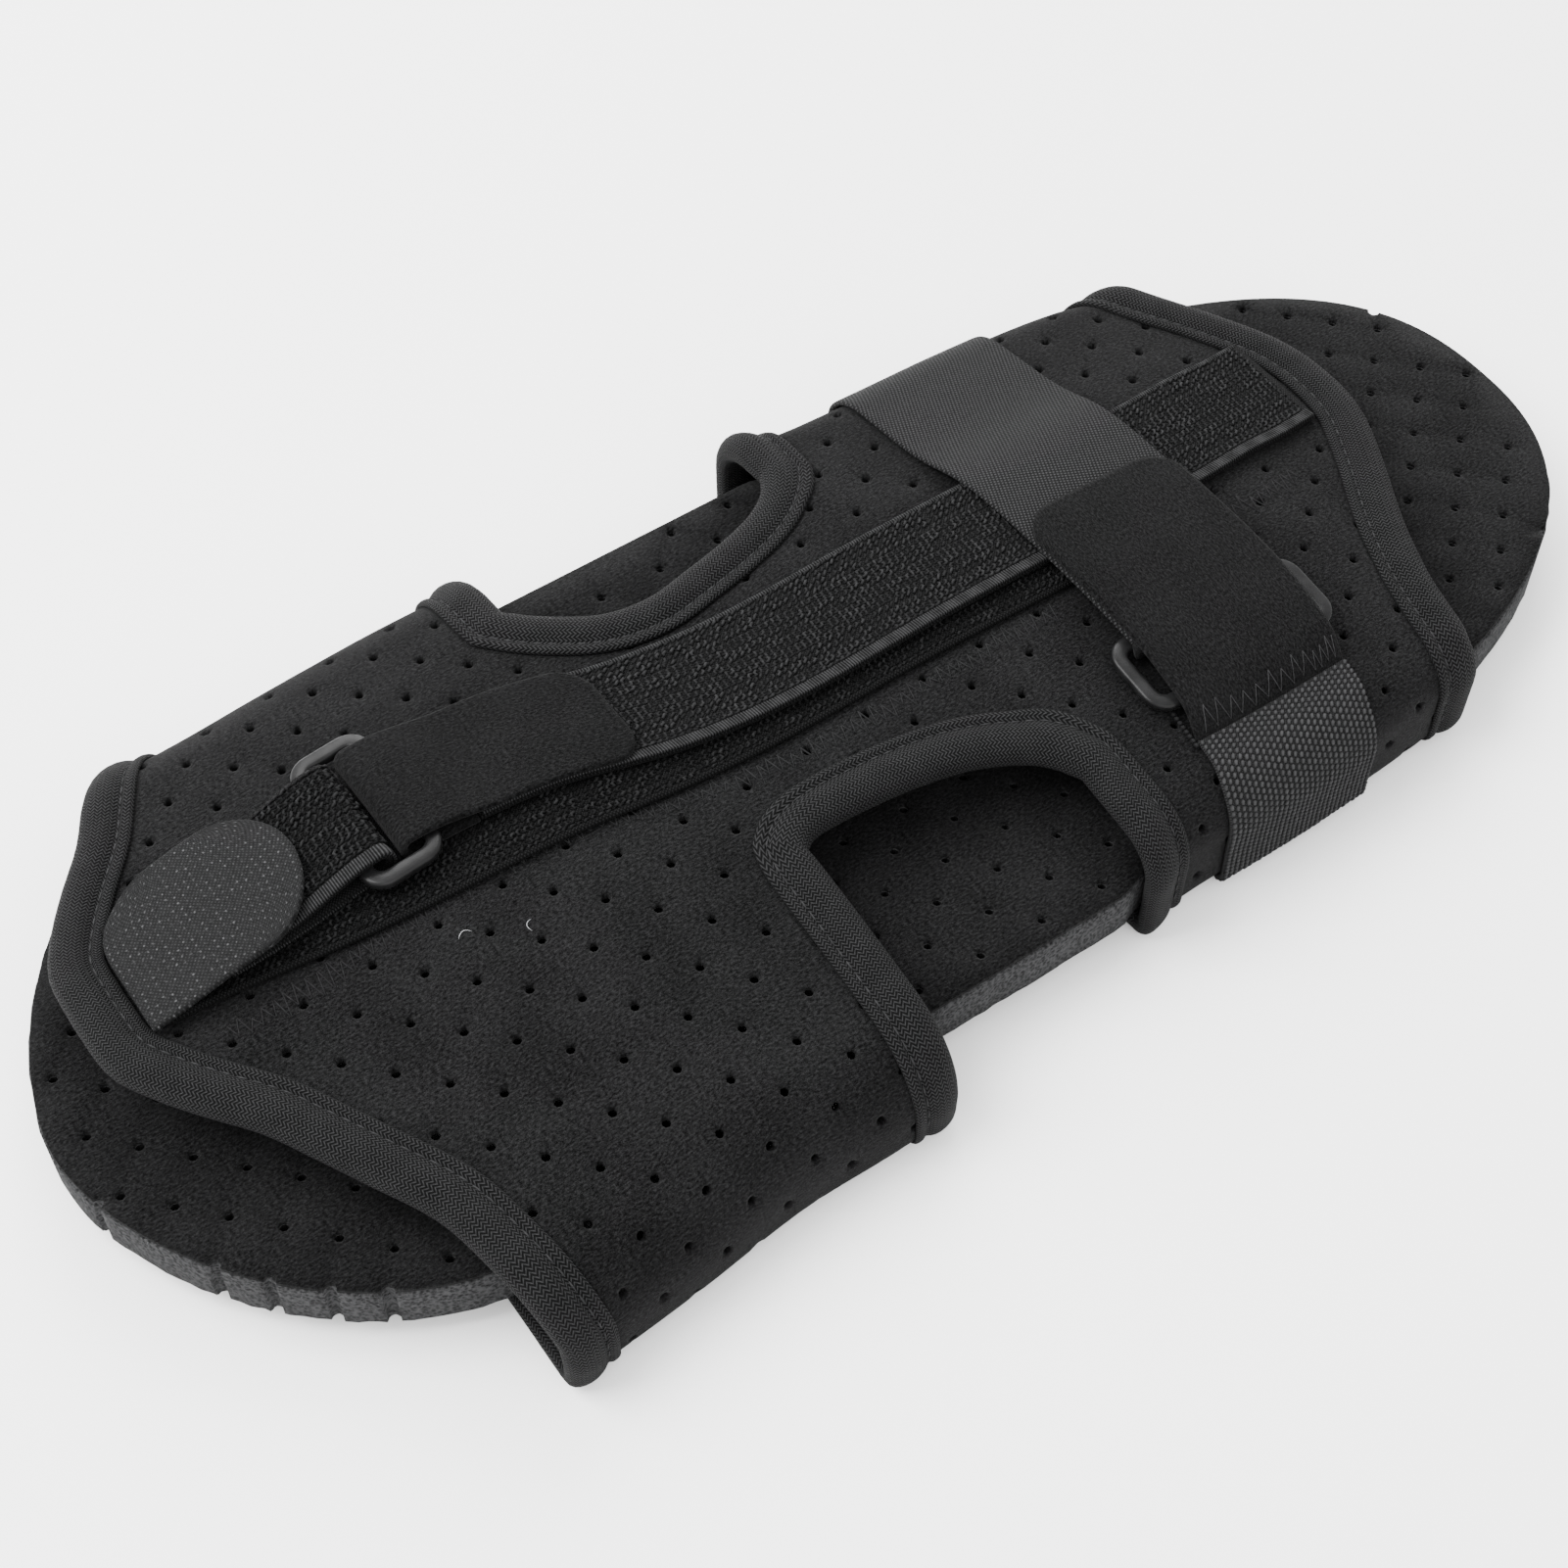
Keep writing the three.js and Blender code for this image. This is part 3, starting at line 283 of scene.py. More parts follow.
def across_of(section, zone):
    """Distance round the section from the crest to a place in a zone."""
    size = np.abs(zone)
    total = sum(section["lengths"][i] * np.clip(size - i, 0, 1) for i in range(ZONES))
    return np.sign(zone) * total


def zone_of(section, across):
    left = np.abs(across)
    zone = 0
    for length in section["lengths"]:
        zone = zone + np.clip(left / length, 0, 1)
        left = np.maximum(left - length, 0)
    return np.sign(across) * zone


def on_wrap(x, zone, height):
    """Places on the wrap's outer face, with heights above that face."""
    x, zone, height = np.broadcast_arrays(*[np.asarray(v, float) for v in (x, zone, height)])
    s = wrap_section(x)
    size = np.abs(zone)
    part = np.clip(np.floor(size), 0, ZONES - 1).astype(int)
    t = size - part
    corner = FLOOR_CORNER_RADIUS
    half, shoulder, angle = s["half"], s["shoulder"], s["angle"]
    quarter = math.pi / 2
    y = np.choose(part, [0 * x, half - shoulder, half, half - corner, (half - corner) * (1 - t)])
    z = np.choose(part, [
        s["crest"] - s["top"], s["side_top"], s["side_top"] + (s["corner_top"] - s["side_top"]) * t,
        s["corner_top"], WRAP_BASE + 0 * x,
    ])
    radius = np.choose(part, [s["top"], shoulder, 0 * x, corner + 0 * x, 0 * x])
    turn = np.choose(part, [
        angle * t, angle + (quarter - angle) * t, quarter + 0 * x, quarter * (1 + t), 2 * quarter + 0 * x,
    ])
    outward = y + (radius + height) * np.sin(turn)
    side = np.where(zone < 0, -1, 1)
    return np.stack([x, s["shift"] + side * outward, z + (radius + height) * np.cos(turn)], -1)


def on_top(x, across, height):
    """The same, by the distance round the section from the crest."""
    section = wrap_section(x)
    girth = across_of(section, ZONES)
    past = np.where(np.abs(across) > girth, across - 2 * girth * np.sign(across), across)
    return on_wrap(x, zone_of(section, past), height)


def undulate(x, across):
    """Slow unevenness of the padded cloth, fading out towards the sides."""
    fade = np.clip(1 - np.abs(across) / UNDULATION_REACH, 0, 1)
    waves = np.sin(x / 17 + across / 23) + np.sin(x / 29 - across / 13 + 1.3)
    return UNDULATION * fade * waves / 2


def on_cloth(x, across, height):
    """The same, with heights above the uneven cloth."""
    return on_top(x, across, height + undulate(x, across))


def run_length(line):
    """Distance along a line of places, at each place."""
    return np.concatenate([[0], np.cumsum(np.linalg.norm(np.diff(line, axis=0), axis=1))])


def on_line(places, s, line):
    """Points at distances along a line whose own points lie at s."""
    return np.stack([np.interp(places, s, line[:, k]) for k in (0, 1)], 1)


def left_edge(across):
    off = np.abs(across - LEFT_TONGUE_CENTRE) / LEFT_TONGUE_SPREAD
    return EDGE_INSET - LEFT_BAND_END - LEFT_TONGUE * sample(LEFT_TONGUE_SHAPE, "off", "reach", off)


def right_edge(across):
    off = np.abs(across - RIGHT_TONGUE_CENTRE) / RIGHT_TONGUE_SPREAD
    return RIGHT_BAND_END + RIGHT_TONGUE * sample(RIGHT_TONGUE_SHAPE, "off", "reach", off) - EDGE_INSET


def front_opening(along):
    width = FRONT_OPENING_RIGHT + FRONT_OPENING_LEFT + 2 * EDGE_INSET
    x = -FRONT_OPENING_LEFT - EDGE_INSET + width * along
    drop = FRONT_OPENING_DROP * sample(FRONT_OPENING_SHAPE, "along", "drop", along)
    return x, EDGE_INSET - FRONT_OPENING_DEPTH - drop


def back_opening(along):
    width = BACK_OPENING_RIGHT + BACK_OPENING_LEFT + 2 * EDGE_INSET
    x = -BACK_OPENING_LEFT - EDGE_INSET + width * along
    drop = BACK_OPENING_DROP * sample(BACK_OPENING_SHAPE, "along", "drop", along)
    return x, BACK_OPENING_DEPTH + drop - EDGE_INSET


def strap_line(x):
    return STRAP_WIDTH * sample(STRAP_LINE, "at", "across", np.asarray(x) / HALF_LENGTH)


def strip_line(x):
    return STRAP_WIDTH * sample(STRIP_LINE, "at", "across", np.asarray(x) / HALF_LENGTH)


def left_stop(across):
    return left_edge(across) + STOP_SHARE * BINDING_WIDTH


def right_stop(across):
    return right_edge(across) - STOP_SHARE * BINDING_WIDTH


def edge_place(edge, zone):
    """Where rows of given zone meet an end edge of the wrap, found by repeated correction."""
    x = edge(0 * zone)
    for _ in range(EDGE_ROUNDS):
        x = x + EDGE_EASE * (edge(across_of(wrap_section(x), zone)) - x)
    return x


def band_side(front, back, zone):
    """Inner edge of a band on the sides and the underside, where it slants across."""
    under = np.clip(np.abs(zone) - CORNER_END, 0, 1) / 2
    return np.where(zone < 0, front + (back - front) * under, back + (front - back) * under)


# Meshes and objects


def world(points):
    """Metres in the frame, from millimetres about the middle of the board."""
    return (np.asarray(points, float) + (0, SHIFT_Y, 0)) * MM


def make_object(name, points, faces, uv, merge=False):
    """Object from points in millimetres. uv holds a place on the cloth for each point, in millimetres."""
    mesh = bpy.data.meshes.new(name)
    mesh.from_pydata(world(points).tolist(), [], [list(map(int, f)) for f in faces])
    layer = mesh.uv_layers.new(name="cloth")
    ids = np.zeros(len(mesh.loops), int)
    mesh.loops.foreach_get("vertex_index", ids)
    layer.data.foreach_set("uv", np.asarray(uv, np.float32)[ids].ravel())
    bm = bmesh.new()
    bm.from_mesh(mesh)
    if merge:
        bmesh.ops.remove_doubles(bm, verts=bm.verts, dist=2e-6)
    bmesh.ops.recalc_face_normals(bm, faces=bm.faces)
    bm.to_mesh(mesh)
    bm.free()
    mesh.polygons.foreach_set("use_smooth", [True] * len(mesh.polygons))
    obj = bpy.data.objects.new(name, mesh)
    bpy.context.scene.collection.objects.link(obj)
    return obj


def dress(obj, material, slot, *nodes):
    obj.data.materials.append(material)
    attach(obj, "root")
    if nodes:
        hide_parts(*nodes)
    return obj


class Shape:
    """Points, faces and cloth places gathered for one mesh."""

    def __init__(self):
        self.points = []
        self.faces = []
        self.uv = []

    def grid(self, points, uv, close_u=False, close_v=False):
        """A sheet of quads over points laid out in rows, optionally joined round either way."""
        rows, cols = points.shape[:2]
        start = len(self.points)
        self.points.extend(points.reshape(-1, 3).tolist())
        self.uv.extend(np.asarray(uv, float).reshape(-1, 2).tolist())
        for r in range(rows if close_u else rows - 1):
            for c in range(cols if close_v else cols - 1):
                a, b = r * cols + c, r * cols + (c + 1) % cols
                d, e = (r + 1) % rows * cols + c, (r + 1) % rows * cols + (c + 1) % cols
                self.faces.append([start + a, start + b, start + e, start + d])
        return start

    def cap(self, ids):
        self.faces.append(list(ids))

    def make(self, name, **options):
        return make_object(name, self.points, self.faces, self.uv, **options)


def tube(shape, line, radius, sides, place, taper=True):
    """Closed tube along a line of (a, b, height) places on a surface, with pinched ends. Its cloth
    places hold the distance a and the height."""
    line = np.asarray(line, float)
    along = np.gradient(line, axis=0)
    along /= np.linalg.norm(along, axis=1)[:, None] + 1e-9
    up = np.array([0.0, 0.0, 1.0])
    side = np.cross(along, up)
    side /= np.linalg.norm(side, axis=1)[:, None] + 1e-9
    out = np.cross(side, along)
    share = np.linspace(0, 1, len(line))
    size = radius * (np.sqrt(np.clip(1 - (2 * share - 1) ** 6, 0.12, 1)) if taper else 1 + 0 * share)
    turn = np.arange(sides) * 2 * math.pi / sides
    ring = np.cos(turn)[None, :, None] * side[:, None] + np.sin(turn)[None, :, None] * out[:, None]
    points = line[:, None] + ring * size[:, None, None]
    flat = place(points[..., 0], points[..., 1], points[..., 2])
    start = shape.grid(flat, points[..., ::2], close_v=True)
    last = start + (len(line) - 1) * sides
    shape.cap(range(start, start + sides))
    shape.cap(range(last + sides - 1, last - 1, -1))


# Node graphs for materials


class Graph:
    """A material's nodes. Values passed to a method are sockets or numbers."""

    def __init__(self, name, roughness, sheen=0.0, specular=0.3):
        self.material = bpy.data.materials.new(name)
        self.material.use_nodes = True
        self.tree = self.material.node_tree
        self.shader = self.tree.nodes["Principled BSDF"]
        self.shader.inputs["Roughness"].default_value = roughness
        self.shader.inputs["Specular IOR Level"].default_value = specular
        self.shader.inputs["Sheen Weight"].default_value = sheen
        self.shader.inputs["Sheen Roughness"].default_value = 0.5

    def node(self, kind, inputs=(), **settings):
        node = self.tree.nodes.new(kind)
        for key, value in settings.items():
            setattr(node, key, value)
        for key, value in dict(inputs).items():
            if isinstance(value, bpy.types.NodeSocket):
                self.tree.links.new(value, node.inputs[key])
            else:
                node.inputs[key].default_value = value
        return node

    def math(self, operation, a, b=0.0, c=0.0):
        return self.node("ShaderNodeMath", {0: a, 1: b, 2: c}, operation=operation).outputs[0]

    def cloth(self):
        """The two distances over the cloth, in millimetres."""
        uv = self.node("ShaderNodeUVMap", uv_map="cloth").outputs[0]
        split = self.node("ShaderNodeSeparateXYZ", {0: uv})
        return split.outputs[0], split.outputs[1]

    def place(self):
        """The place on the object, in millimetres."""
        coords = self.node("ShaderNodeTexCoord").outputs["Object"]
        return self.node("ShaderNodeVectorMath", {0: coords, "Scale": 1 / MM}, operation="SCALE").outputs[0]

    def combine(self, x, y):
        return self.node("ShaderNodeCombineXYZ", {0: x, 1: y}).outputs[0]

    def noise(self, vector, scale, detail, roughness):
        inputs = {"Vector": vector, "Scale": scale, "Detail": detail, "Roughness": roughness}
        return self.node("ShaderNodeTexNoise", inputs).outputs["Fac"]

    def cells(self, vector, scale):
        return self.node("ShaderNodeTexVoronoi", {"Vector": vector, "Scale": scale}).outputs["Distance"]

    def spread(self, value, low, high, to_low=0.0, to_high=1.0):
        inputs = {"Value": value, "From Min": low, "From Max": high, "To Min": to_low, "To Max": to_high}
        return self.node("ShaderNodeMapRange", inputs, clamp=True).outputs[0]

    def wave(self, value, pitch):
        """A smooth wave from 0 to 1 with the given pitch."""
        turn = self.math("MULTIPLY", value, 2 * math.pi / pitch)
        return self.math("MULTIPLY_ADD", self.math("SINE", turn), 0.5, 0.5)

    def colour(self, factor, *stops):
        """Colour ramp through (position, grey) stops."""
        node = self.node("ShaderNodeValToRGB", {0: factor})
        ramp = node.color_ramp
        while len(ramp.elements) < len(stops):
            ramp.elements.new(0.5)
        for element, (position, grey) in zip(ramp.elements, stops):
            element.position = position
            element.color = (grey, grey * 1.005, grey * 1.03, 1)
        self.tree.links.new(node.outputs[0], self.shader.inputs["Base Color"])

    def bump(self, height, depth):
        inputs = {"Height": height, "Distance": depth * MM, "Strength": 1.0}
        node = self.node("ShaderNodeBump", inputs)
        self.tree.links.new(node.outputs[0], self.shader.inputs["Normal"])


def flock_material(name, low, high, grain):
    """Short nap that lies in small tufts, with slow patches where it was brushed."""
    g = Graph(name, 0.95, sheen=0.025, specular=0.02)
    u, v = g.cloth()
    tufts = g.noise(g.combine(g.math("MULTIPLY", u, 0.55), v), 1.0 / grain, 3.0, 0.62)
    fine = g.noise(g.place(), 2.6 / grain, 2.0, 0.6)
    patch = g.noise(g.place(), 0.06, 2.0, 0.5)
    mix = g.math("ADD", g.math("MULTIPLY", tufts, 0.6), g.math("MULTIPLY", fine, 0.4))
    tone = g.math("MULTIPLY_ADD", patch, 0.12, g.math("SUBTRACT", mix, 0.06))
    g.colour(g.spread(tone, 0.39, 0.64), (0.0, low), (0.5, (low + high) / 2.5), (1.0, high))
    g.bump(mix, 0.3)
    return g.material


def binding_material():
    """Knitted tape: small stitches that lean one way and the other in turn."""
    g = Graph("binding", 0.8, sheen=0.01, specular=0.04)
    u, v = g.cloth()
    lean = g.math("MULTIPLY", g.math("PINGPONG", v, 0.7), 1.1)
    stitch = g.wave(g.math("ADD", u, lean), 0.8)
    rows = g.wave(v, 0.7)
    loops = g.math("MULTIPLY", stitch, g.math("MULTIPLY_ADD", rows, 0.35, 0.65))
    worn = g.noise(g.place(), 0.25, 3.0, 0.6)
    tone = g.math("MULTIPLY_ADD", worn, 0.3, loops)
    g.colour(g.spread(tone, 0.1, 1.1), (0.0, 0.0004), (0.45, 0.0044), (1.0, 0.021))
    g.bump(loops, 0.2)
    return g.material


def weave_material(name, pitch, tones, depth, slant=0.35):
    """Woven cloth: threads over and under each other, with a slight slant."""
    g = Graph(name, 0.75, sheen=0.01, specular=0.04)
    u, v = g.cloth()
    warp = g.wave(g.math("MULTIPLY_ADD", v, slant, u), pitch)
    weft = g.wave(g.math("MULTIPLY_ADD", u, -slant, v), pitch)
    over = g.math("ABSOLUTE", g.math("SUBTRACT", warp, weft))
    fuzz = g.noise(g.place(), 1.6, 3.0, 0.65)
    tone = g.math("MULTIPLY_ADD", fuzz, 0.6, over)
    g.colour(g.spread(tone, 0.15, 1.25), (0.0, tones[0]), (0.5, tones[1]), (1.0, tones[2]))
    g.bump(tone, depth)
    return g.material


DOT_PITCH = 1.5


def patch_material():
    """Hook tape seen from behind: a fine knit with rows of light dots where the hooks are rooted."""
    g = Graph("hook_patch", 0.7, sheen=0.01, specular=0.05)
    u, v = g.cloth()
    knit = g.math("MULTIPLY", g.wave(g.math("ADD", u, v), 0.8), g.wave(g.math("SUBTRACT", u, v), 0.95))
    column = g.math("FLOOR", g.math("DIVIDE", u, DOT_PITCH))
    stagger = g.math("MULTIPLY", g.math("MODULO", column, 2.0), DOT_PITCH / 2)
    du = g.math("SUBTRACT", g.math("FRACT", g.math("DIVIDE", u, DOT_PITCH)), 0.5)
    dv = g.math("SUBTRACT", g.math("FRACT", g.math("DIVIDE", g.math("ADD", v, stagger), DOT_PITCH)), 0.5)
    reach = g.math("SQRT", g.math("ADD", g.math("MULTIPLY", du, du), g.math("MULTIPLY", dv, dv)))
    missing = g.spread(g.noise(g.place(), 0.6, 3.0, 0.7), 0.4, 0.6, 0.05, 1.0)
    dots = g.math("MULTIPLY", g.spread(reach, 0.08, 0.22, 0.9, 0.0), missing)
    fuzz = g.noise(g.place(), 1.4, 2.0, 0.6)
    tone = g.math("ADD", g.math("MULTIPLY_ADD", knit, 0.4, g.math("MULTIPLY", fuzz, 0.45)), dots)
    g.colour(g.spread(tone, 0.1, 1.3), (0.0, 0.002), (0.35, 0.011), (1.0, 0.055))
    g.bump(tone, 0.2)
    return g.material


def yarn_material(name, low, high, floor=None, crest=None):
    """Fuzzy yarn. With a floor and a crest height it gets painted shade: black in the depths and lighter on
    top.
    """
    g = Graph(name, 0.85, sheen=0.01, specular=0.03)
    strand = g.noise(g.place(), 1.1, 2.0, 0.6)
    fibre = g.noise(g.place(), 5.0, 2.0, 0.6)
    tone = g.spread(g.math("MULTIPLY_ADD", fibre, 0.35, g.math("MULTIPLY", strand, 0.65)), 0.3, 0.7)
    if floor is not None:
        # Painted shade: the colour darkens towards the floor height and lightens towards the crest.
        painted_light_share = g.spread(g.cloth()[1], floor, crest)
        tone = g.math("MULTIPLY", g.math("MULTIPLY_ADD", tone, 0.5, 0.5), g.math("POWER", painted_light_share, 1.6))
    g.colour(tone, (0.0, low), (1.0, high))
    g.bump(fibre, 0.12)
    return g.material


def rib_material():
    """Ribbed edge of a strap: fine cords across it, dark between."""
    g = Graph("selvedge", 0.75, sheen=0.01, specular=0.04)
    cords = g.wave(g.cloth()[0], 0.56)
    fuzz = g.noise(g.place(), 1.5, 2.0, 0.6)
    tone = g.math("MULTIPLY_ADD", cords, 0.7, g.math("MULTIPLY", fuzz, 0.5))
    g.colour(g.spread(tone, 0.15, 1.0), (0.0, 0.0008), (0.5, 0.006), (1.0, 0.026))
    g.bump(cords, 0.15)
    return g.material


def foam_material():
    """Cut foam: small open cells and crumbs along the cut."""
    g = Graph("foam", 0.95, specular=0.05)
    cell = g.cells(g.place(), 1.3)
    crumb = g.noise(g.place(), 1.5, 3.0, 0.6)
    tone = g.math("MULTIPLY_ADD", crumb, 0.7, g.math("MULTIPLY", cell, 0.5))
    g.colour(g.spread(tone, 0.2, 0.75), (0.0, 0.004), (0.5, 0.014), (1.0, 0.038))
    g.bump(tone, 0.5)
    return g.material


def plastic_material():
    """Moulded plastic with a fine satin grain and slightly rubbed edges."""
    g = Graph("ring_plastic", 0.3, specular=0.12)
    grain = g.noise(g.place(), 3.0, 2.0, 0.5)
    rub = g.noise(g.place(), 0.3, 2.0, 0.5)
    g.colour(g.spread(rub, 0.35, 0.7), (0.0, 0.0045), (1.0, 0.009))
    g.bump(grain, 0.02)
    return g.material


FLOCK = flock_material("flock", 0.0005, 0.0135, 0.45)
VELVET = flock_material("velvet", 0.0003, 0.0102, 0.42)
BINDING = binding_material()
GREY_WEAVE = weave_material("grey_weave", 1.05, (0.0018, 0.0085, 0.028), 0.25)
STRAP_BACK = weave_material("strap_back", 0.7, (0.0006, 0.0025, 0.008), 0.15, 0.0)
WEBBING = weave_material("webbing", 0.5, (0.002, 0.008, 0.022), 0.1, 0.0)
PATCH = patch_material()
# The pile yarn and the webbing's knuckles carry painted shade between their floor and crest heights.
YARN = yarn_material("pile_yarn", 0.0002, 0.022, 0.7, 1.5)
BEADS = yarn_material("webbing_yarn", 0.006, 0.04, 0.2, 1.1)
THREAD = yarn_material("thread", 0.01, 0.03)
SEWING = yarn_material("sewing", 0.005, 0.017)
RIB = rib_material()
LINT = yarn_material("lint", 0.25, 0.45)
FOAM = foam_material()
PLASTIC = plastic_material()


# Perforated layers


def hole_centres(low, high):
    """Centres of the perforations over a stretch of the flat cloth."""
    reach = int(np.abs([low, high]).max() / HOLE_CELL * 2) + 4
    i, j = np.meshgrid(np.arange(-reach, reach), np.arange(-reach, reach))
    x = (i - j).ravel() / 2 * HOLE_CELL
    y = -(i + j).ravel() / 2 * HOLE_CELL
    c, s = math.cos(HOLE_TURN), math.sin(HOLE_TURN)
    centres = np.stack([c * x - s * y + HOLE_OFFSET[0], s * x + c * y + HOLE_OFFSET[1]], 1)
    inside = ((centres > low) & (centres < high)).all(1)
    return centres[inside]


def inside_outline(points, outline):
    """Which points lie inside a closed outline."""
    a, b = outline, np.roll(outline, -1, 0)
    x, y = points[:, :1], points[:, 1:]
    crosses = (a[:, 1] > y) != (b[:, 1] > y)
    with np.errstate(divide="ignore", invalid="ignore"):
        cut = a[:, 0] + (y - a[:, 1]) * (b[:, 0] - a[:, 0]) / (b[:, 1] - a[:, 1])
    return (crosses & (x < cut)).sum(1) % 2 == 1


def outline_distance(points, outline):
    a, b = outline, np.roll(outline, -1, 0)
    best = np.full(len(points), 1e9)
    for start, end in zip(a, b):
        d = end - start
        t = np.clip(((points - start) @ d) / max(d @ d, 1e-9), 0, 1)
        best = np.minimum(best, np.linalg.norm(points - start - t[:, None] * d, axis=1))
    return best


def fill_flat(outline, centres, grid, spacing):
    """Triangles over the outline with round holes left open. Gives points, triangles, the rings of
    the outline and the holes as point numbers, and how far each point dips at a hole's rim."""
    turn = np.arange(HOLE_SIDES) * 2 * math.pi / HOLE_SIDES
    ring = HOLE_RADIUS * np.stack([np.cos(turn), np.sin(turn)], 1)
    centres = centres[inside_outline(centres, outline)]
    centres = centres[outline_distance(centres, outline) > HOLE_RADIUS + HOLE_MARGIN]
    holes = (centres[:, None] + ring[None]).reshape(-1, 2)
    grid = grid[inside_outline(grid, outline)]
    grid = grid[outline_distance(grid, outline) > spacing / 2]
    near = np.full(len(grid), 1e9)
    for centre in centres:
        near = np.minimum(near, np.linalg.norm(grid - centre, axis=1))
    grid = grid[near > GRID_CLEARANCE * HOLE_COLLAR * HOLE_RADIUS]
    collars = (centres[:, None] + HOLE_COLLAR * ring[None]).reshape(-1, 2)
    points = np.concatenate([outline, holes, collars, grid])
    count = len(outline)
    edges = [(k, (k + 1) % count) for k in range(count)]
    rings = [list(range(count))]
    for h in range(len(centres)):
        first = count + h * HOLE_SIDES
        edges += [(first + k, first + (k + 1) % HOLE_SIDES) for k in range(HOLE_SIDES)]
        rings.append(list(range(first, first + HOLE_SIDES)))
    made = delaunay_2d_cdt([Vector(p) for p in points.tolist()], edges, [], 0, 1e-7, True)
    coords = np.array([v[:] for v in made[0]])
    origin = {ids[0]: k for k, ids in enumerate(made[3]) if ids}
    faces = np.array(made[2])
    middle = coords[faces].mean(1)
    keep = inside_outline(middle, outline)
    for centre in centres:
        keep &= np.linalg.norm(middle - centre, axis=1) > HOLE_CORE * HOLE_RADIUS
    dip = np.zeros(len(coords))
    dip[[origin[k] for k in range(count, count + len(holes))]] = HOLE_DIP
    return coords, faces[keep], [[origin[k] for k in r] for r in rings], dip


def layer_object(name, flat, low, high, skip=(), merge=False):
    """Closed layer over a flat filling. low and high give the two faces as places in space."""
    coords, triangles, rings, dip = flat
    count = len(coords)
    points = np.concatenate([high(coords, dip), low(coords, 0.0)])
    faces = [list(t) for t in triangles] + [[c + count, b + count, a + count] for a, b, c in triangles]
    for ring in rings:
        for k, a in enumerate(ring):
            b = ring[(k + 1) % len(ring)]
            if (a, b) not in skip:
                faces.append([a, b, b + count, a + count])
    return make_object(name, points, faces, np.concatenate([coords, coords]), merge=merge)


# Foot board

PAD_EDGE_ROUND = 0.45
PAD_OUTLINE_STEP = 2.4
PAD_OUTLINE_PLACES = 3000
PAD_GRID = 12.0
CORE_INSET = 0.1
CORE_GAP = 0.02
PAD_EDGE_ROUGHNESS = 0.35
# Where the cut edge runs through a perforation, as places along the front or the back edge
FRONT_NOTCHES = (-167.3, -156.1, -149.6, -141.8, -133.8, 148.2)
BACK_NOTCHES = (162.7,)
NOTCH_RADIUS = 1.25
NOTCH_CLEARANCE = 1.4
NOTCH_STEPS = (-1.0, -0.85, -0.5, 0.0, 0.5, 0.85, 1.0)


def pad_outline(inset, rough=0.0):
    """Outline of the board seen from above, drawn in by an inset, with half holes in its edge."""
    turn = np.linspace(0, math.pi, PAD_OUTLINE_PLACES)
    x = -np.cos(turn) * HALF_LENGTH
    line = np.concatenate([
        np.stack([x, -pad_half_width(x)], 1), np.stack([x, pad_half_width(x)], 1)[::-1],
    ])
    s = run_length(line)
    half = len(x)
    notches = [s[np.abs(x - place).argmin()] for place in FRONT_NOTCHES]
    notches += [s[half + np.abs(x[::-1] - place).argmin()] for place in BACK_NOTCHES]
    places = np.arange(0, s[-1] - PAD_OUTLINE_STEP / 2, PAD_OUTLINE_STEP)
    away = np.abs(places[:, None] - np.array(notches)).min(1)
    places = places[away > NOTCH_CLEARANCE * NOTCH_RADIUS]
    depth = np.full(len(places), float(inset))
    for notch in notches:
        share = np.array(NOTCH_STEPS)
        places = np.concatenate([places, notch + NOTCH_RADIUS * share])
        depth = np.concatenate([depth, inset + NOTCH_RADIUS * np.sqrt(1 - share**2)])
    order = np.argsort(places)
    places, depth = places[order], depth[order]
    along = on_line(places + 0.5, s, line) - on_line(places - 0.5, s, line)
    along /= np.linalg.norm(along, axis=1)[:, None]
    inward = np.stack([-along[:, 1], along[:, 0]], 1)
    seeded = np.random.default_rng(5)
    depth = depth + rough * (seeded.random(len(depth)) - 0.5)
    return on_line(places, s, line) + depth[:, None] * inward


def flat_place(height):
    return lambda coords, dip: np.column_stack([coords, np.full(len(coords), height) - dip])


def board_area():
    """Area of the board seen from above, in square metres."""
    x, y = pad_outline(PAD_EDGE_ROUND).T
    return abs(np.dot(x, np.roll(y, -1)) - np.dot(y, np.roll(x, -1))) / 2 * MM * MM


def make_pad():
    corner = np.array([HALF_LENGTH, HALF_WIDTH])
    rows = [np.arange(-half, half, PAD_GRID) for half in corner]
    grid = np.stack([v.ravel() for v in np.meshgrid(*rows)], 1)
    centres = hole_centres(-corner, corner)
    cover_flat = fill_flat(pad_outline(PAD_EDGE_ROUND), centres, grid, PAD_GRID / 2)
    top_low = PAD_TOP - COVER_THICKNESS
    base_high = PAD_BASE + BOTTOM_COVER_THICKNESS
    top = layer_object("pad_top_cover_cloth", cover_flat, flat_place(top_low), flat_place(PAD_TOP))
    base = layer_object("pad_bottom_cover_cloth", cover_flat, flat_place(PAD_BASE), flat_place(base_high))
    core_flat = fill_flat(pad_outline(CORE_INSET, PAD_EDGE_ROUGHNESS), centres, grid, PAD_GRID / 2)
    core = layer_object("pad_foam", core_flat, flat_place(base_high + CORE_GAP),
                        flat_place(top_low - CORE_GAP))
    dress(top, FLOCK, "flock", "pad_top_cover")
    dress(base, FLOCK, "flock", "pad_bottom_cover")
    dress(core, FOAM, "foam", "pad_core")
    # The hole walls through the foam get the black flock instead of foam: painted shade that keeps the
    # perforations dark.
    core.data.materials.append(FLOCK)
    rim = 2 * len(core_flat[1]) + len(core_flat[2][0])
    for face in core.data.polygons[rim:]:
        face.material_index = 1
    area = board_area()


# Wrap and its bindings

WRAP_GRID = 3.6
WRAP_SPACING = 1.6
OPENING_STEPS = 46
ROUND_STEPS = (22, 14, 5, 7, 22)


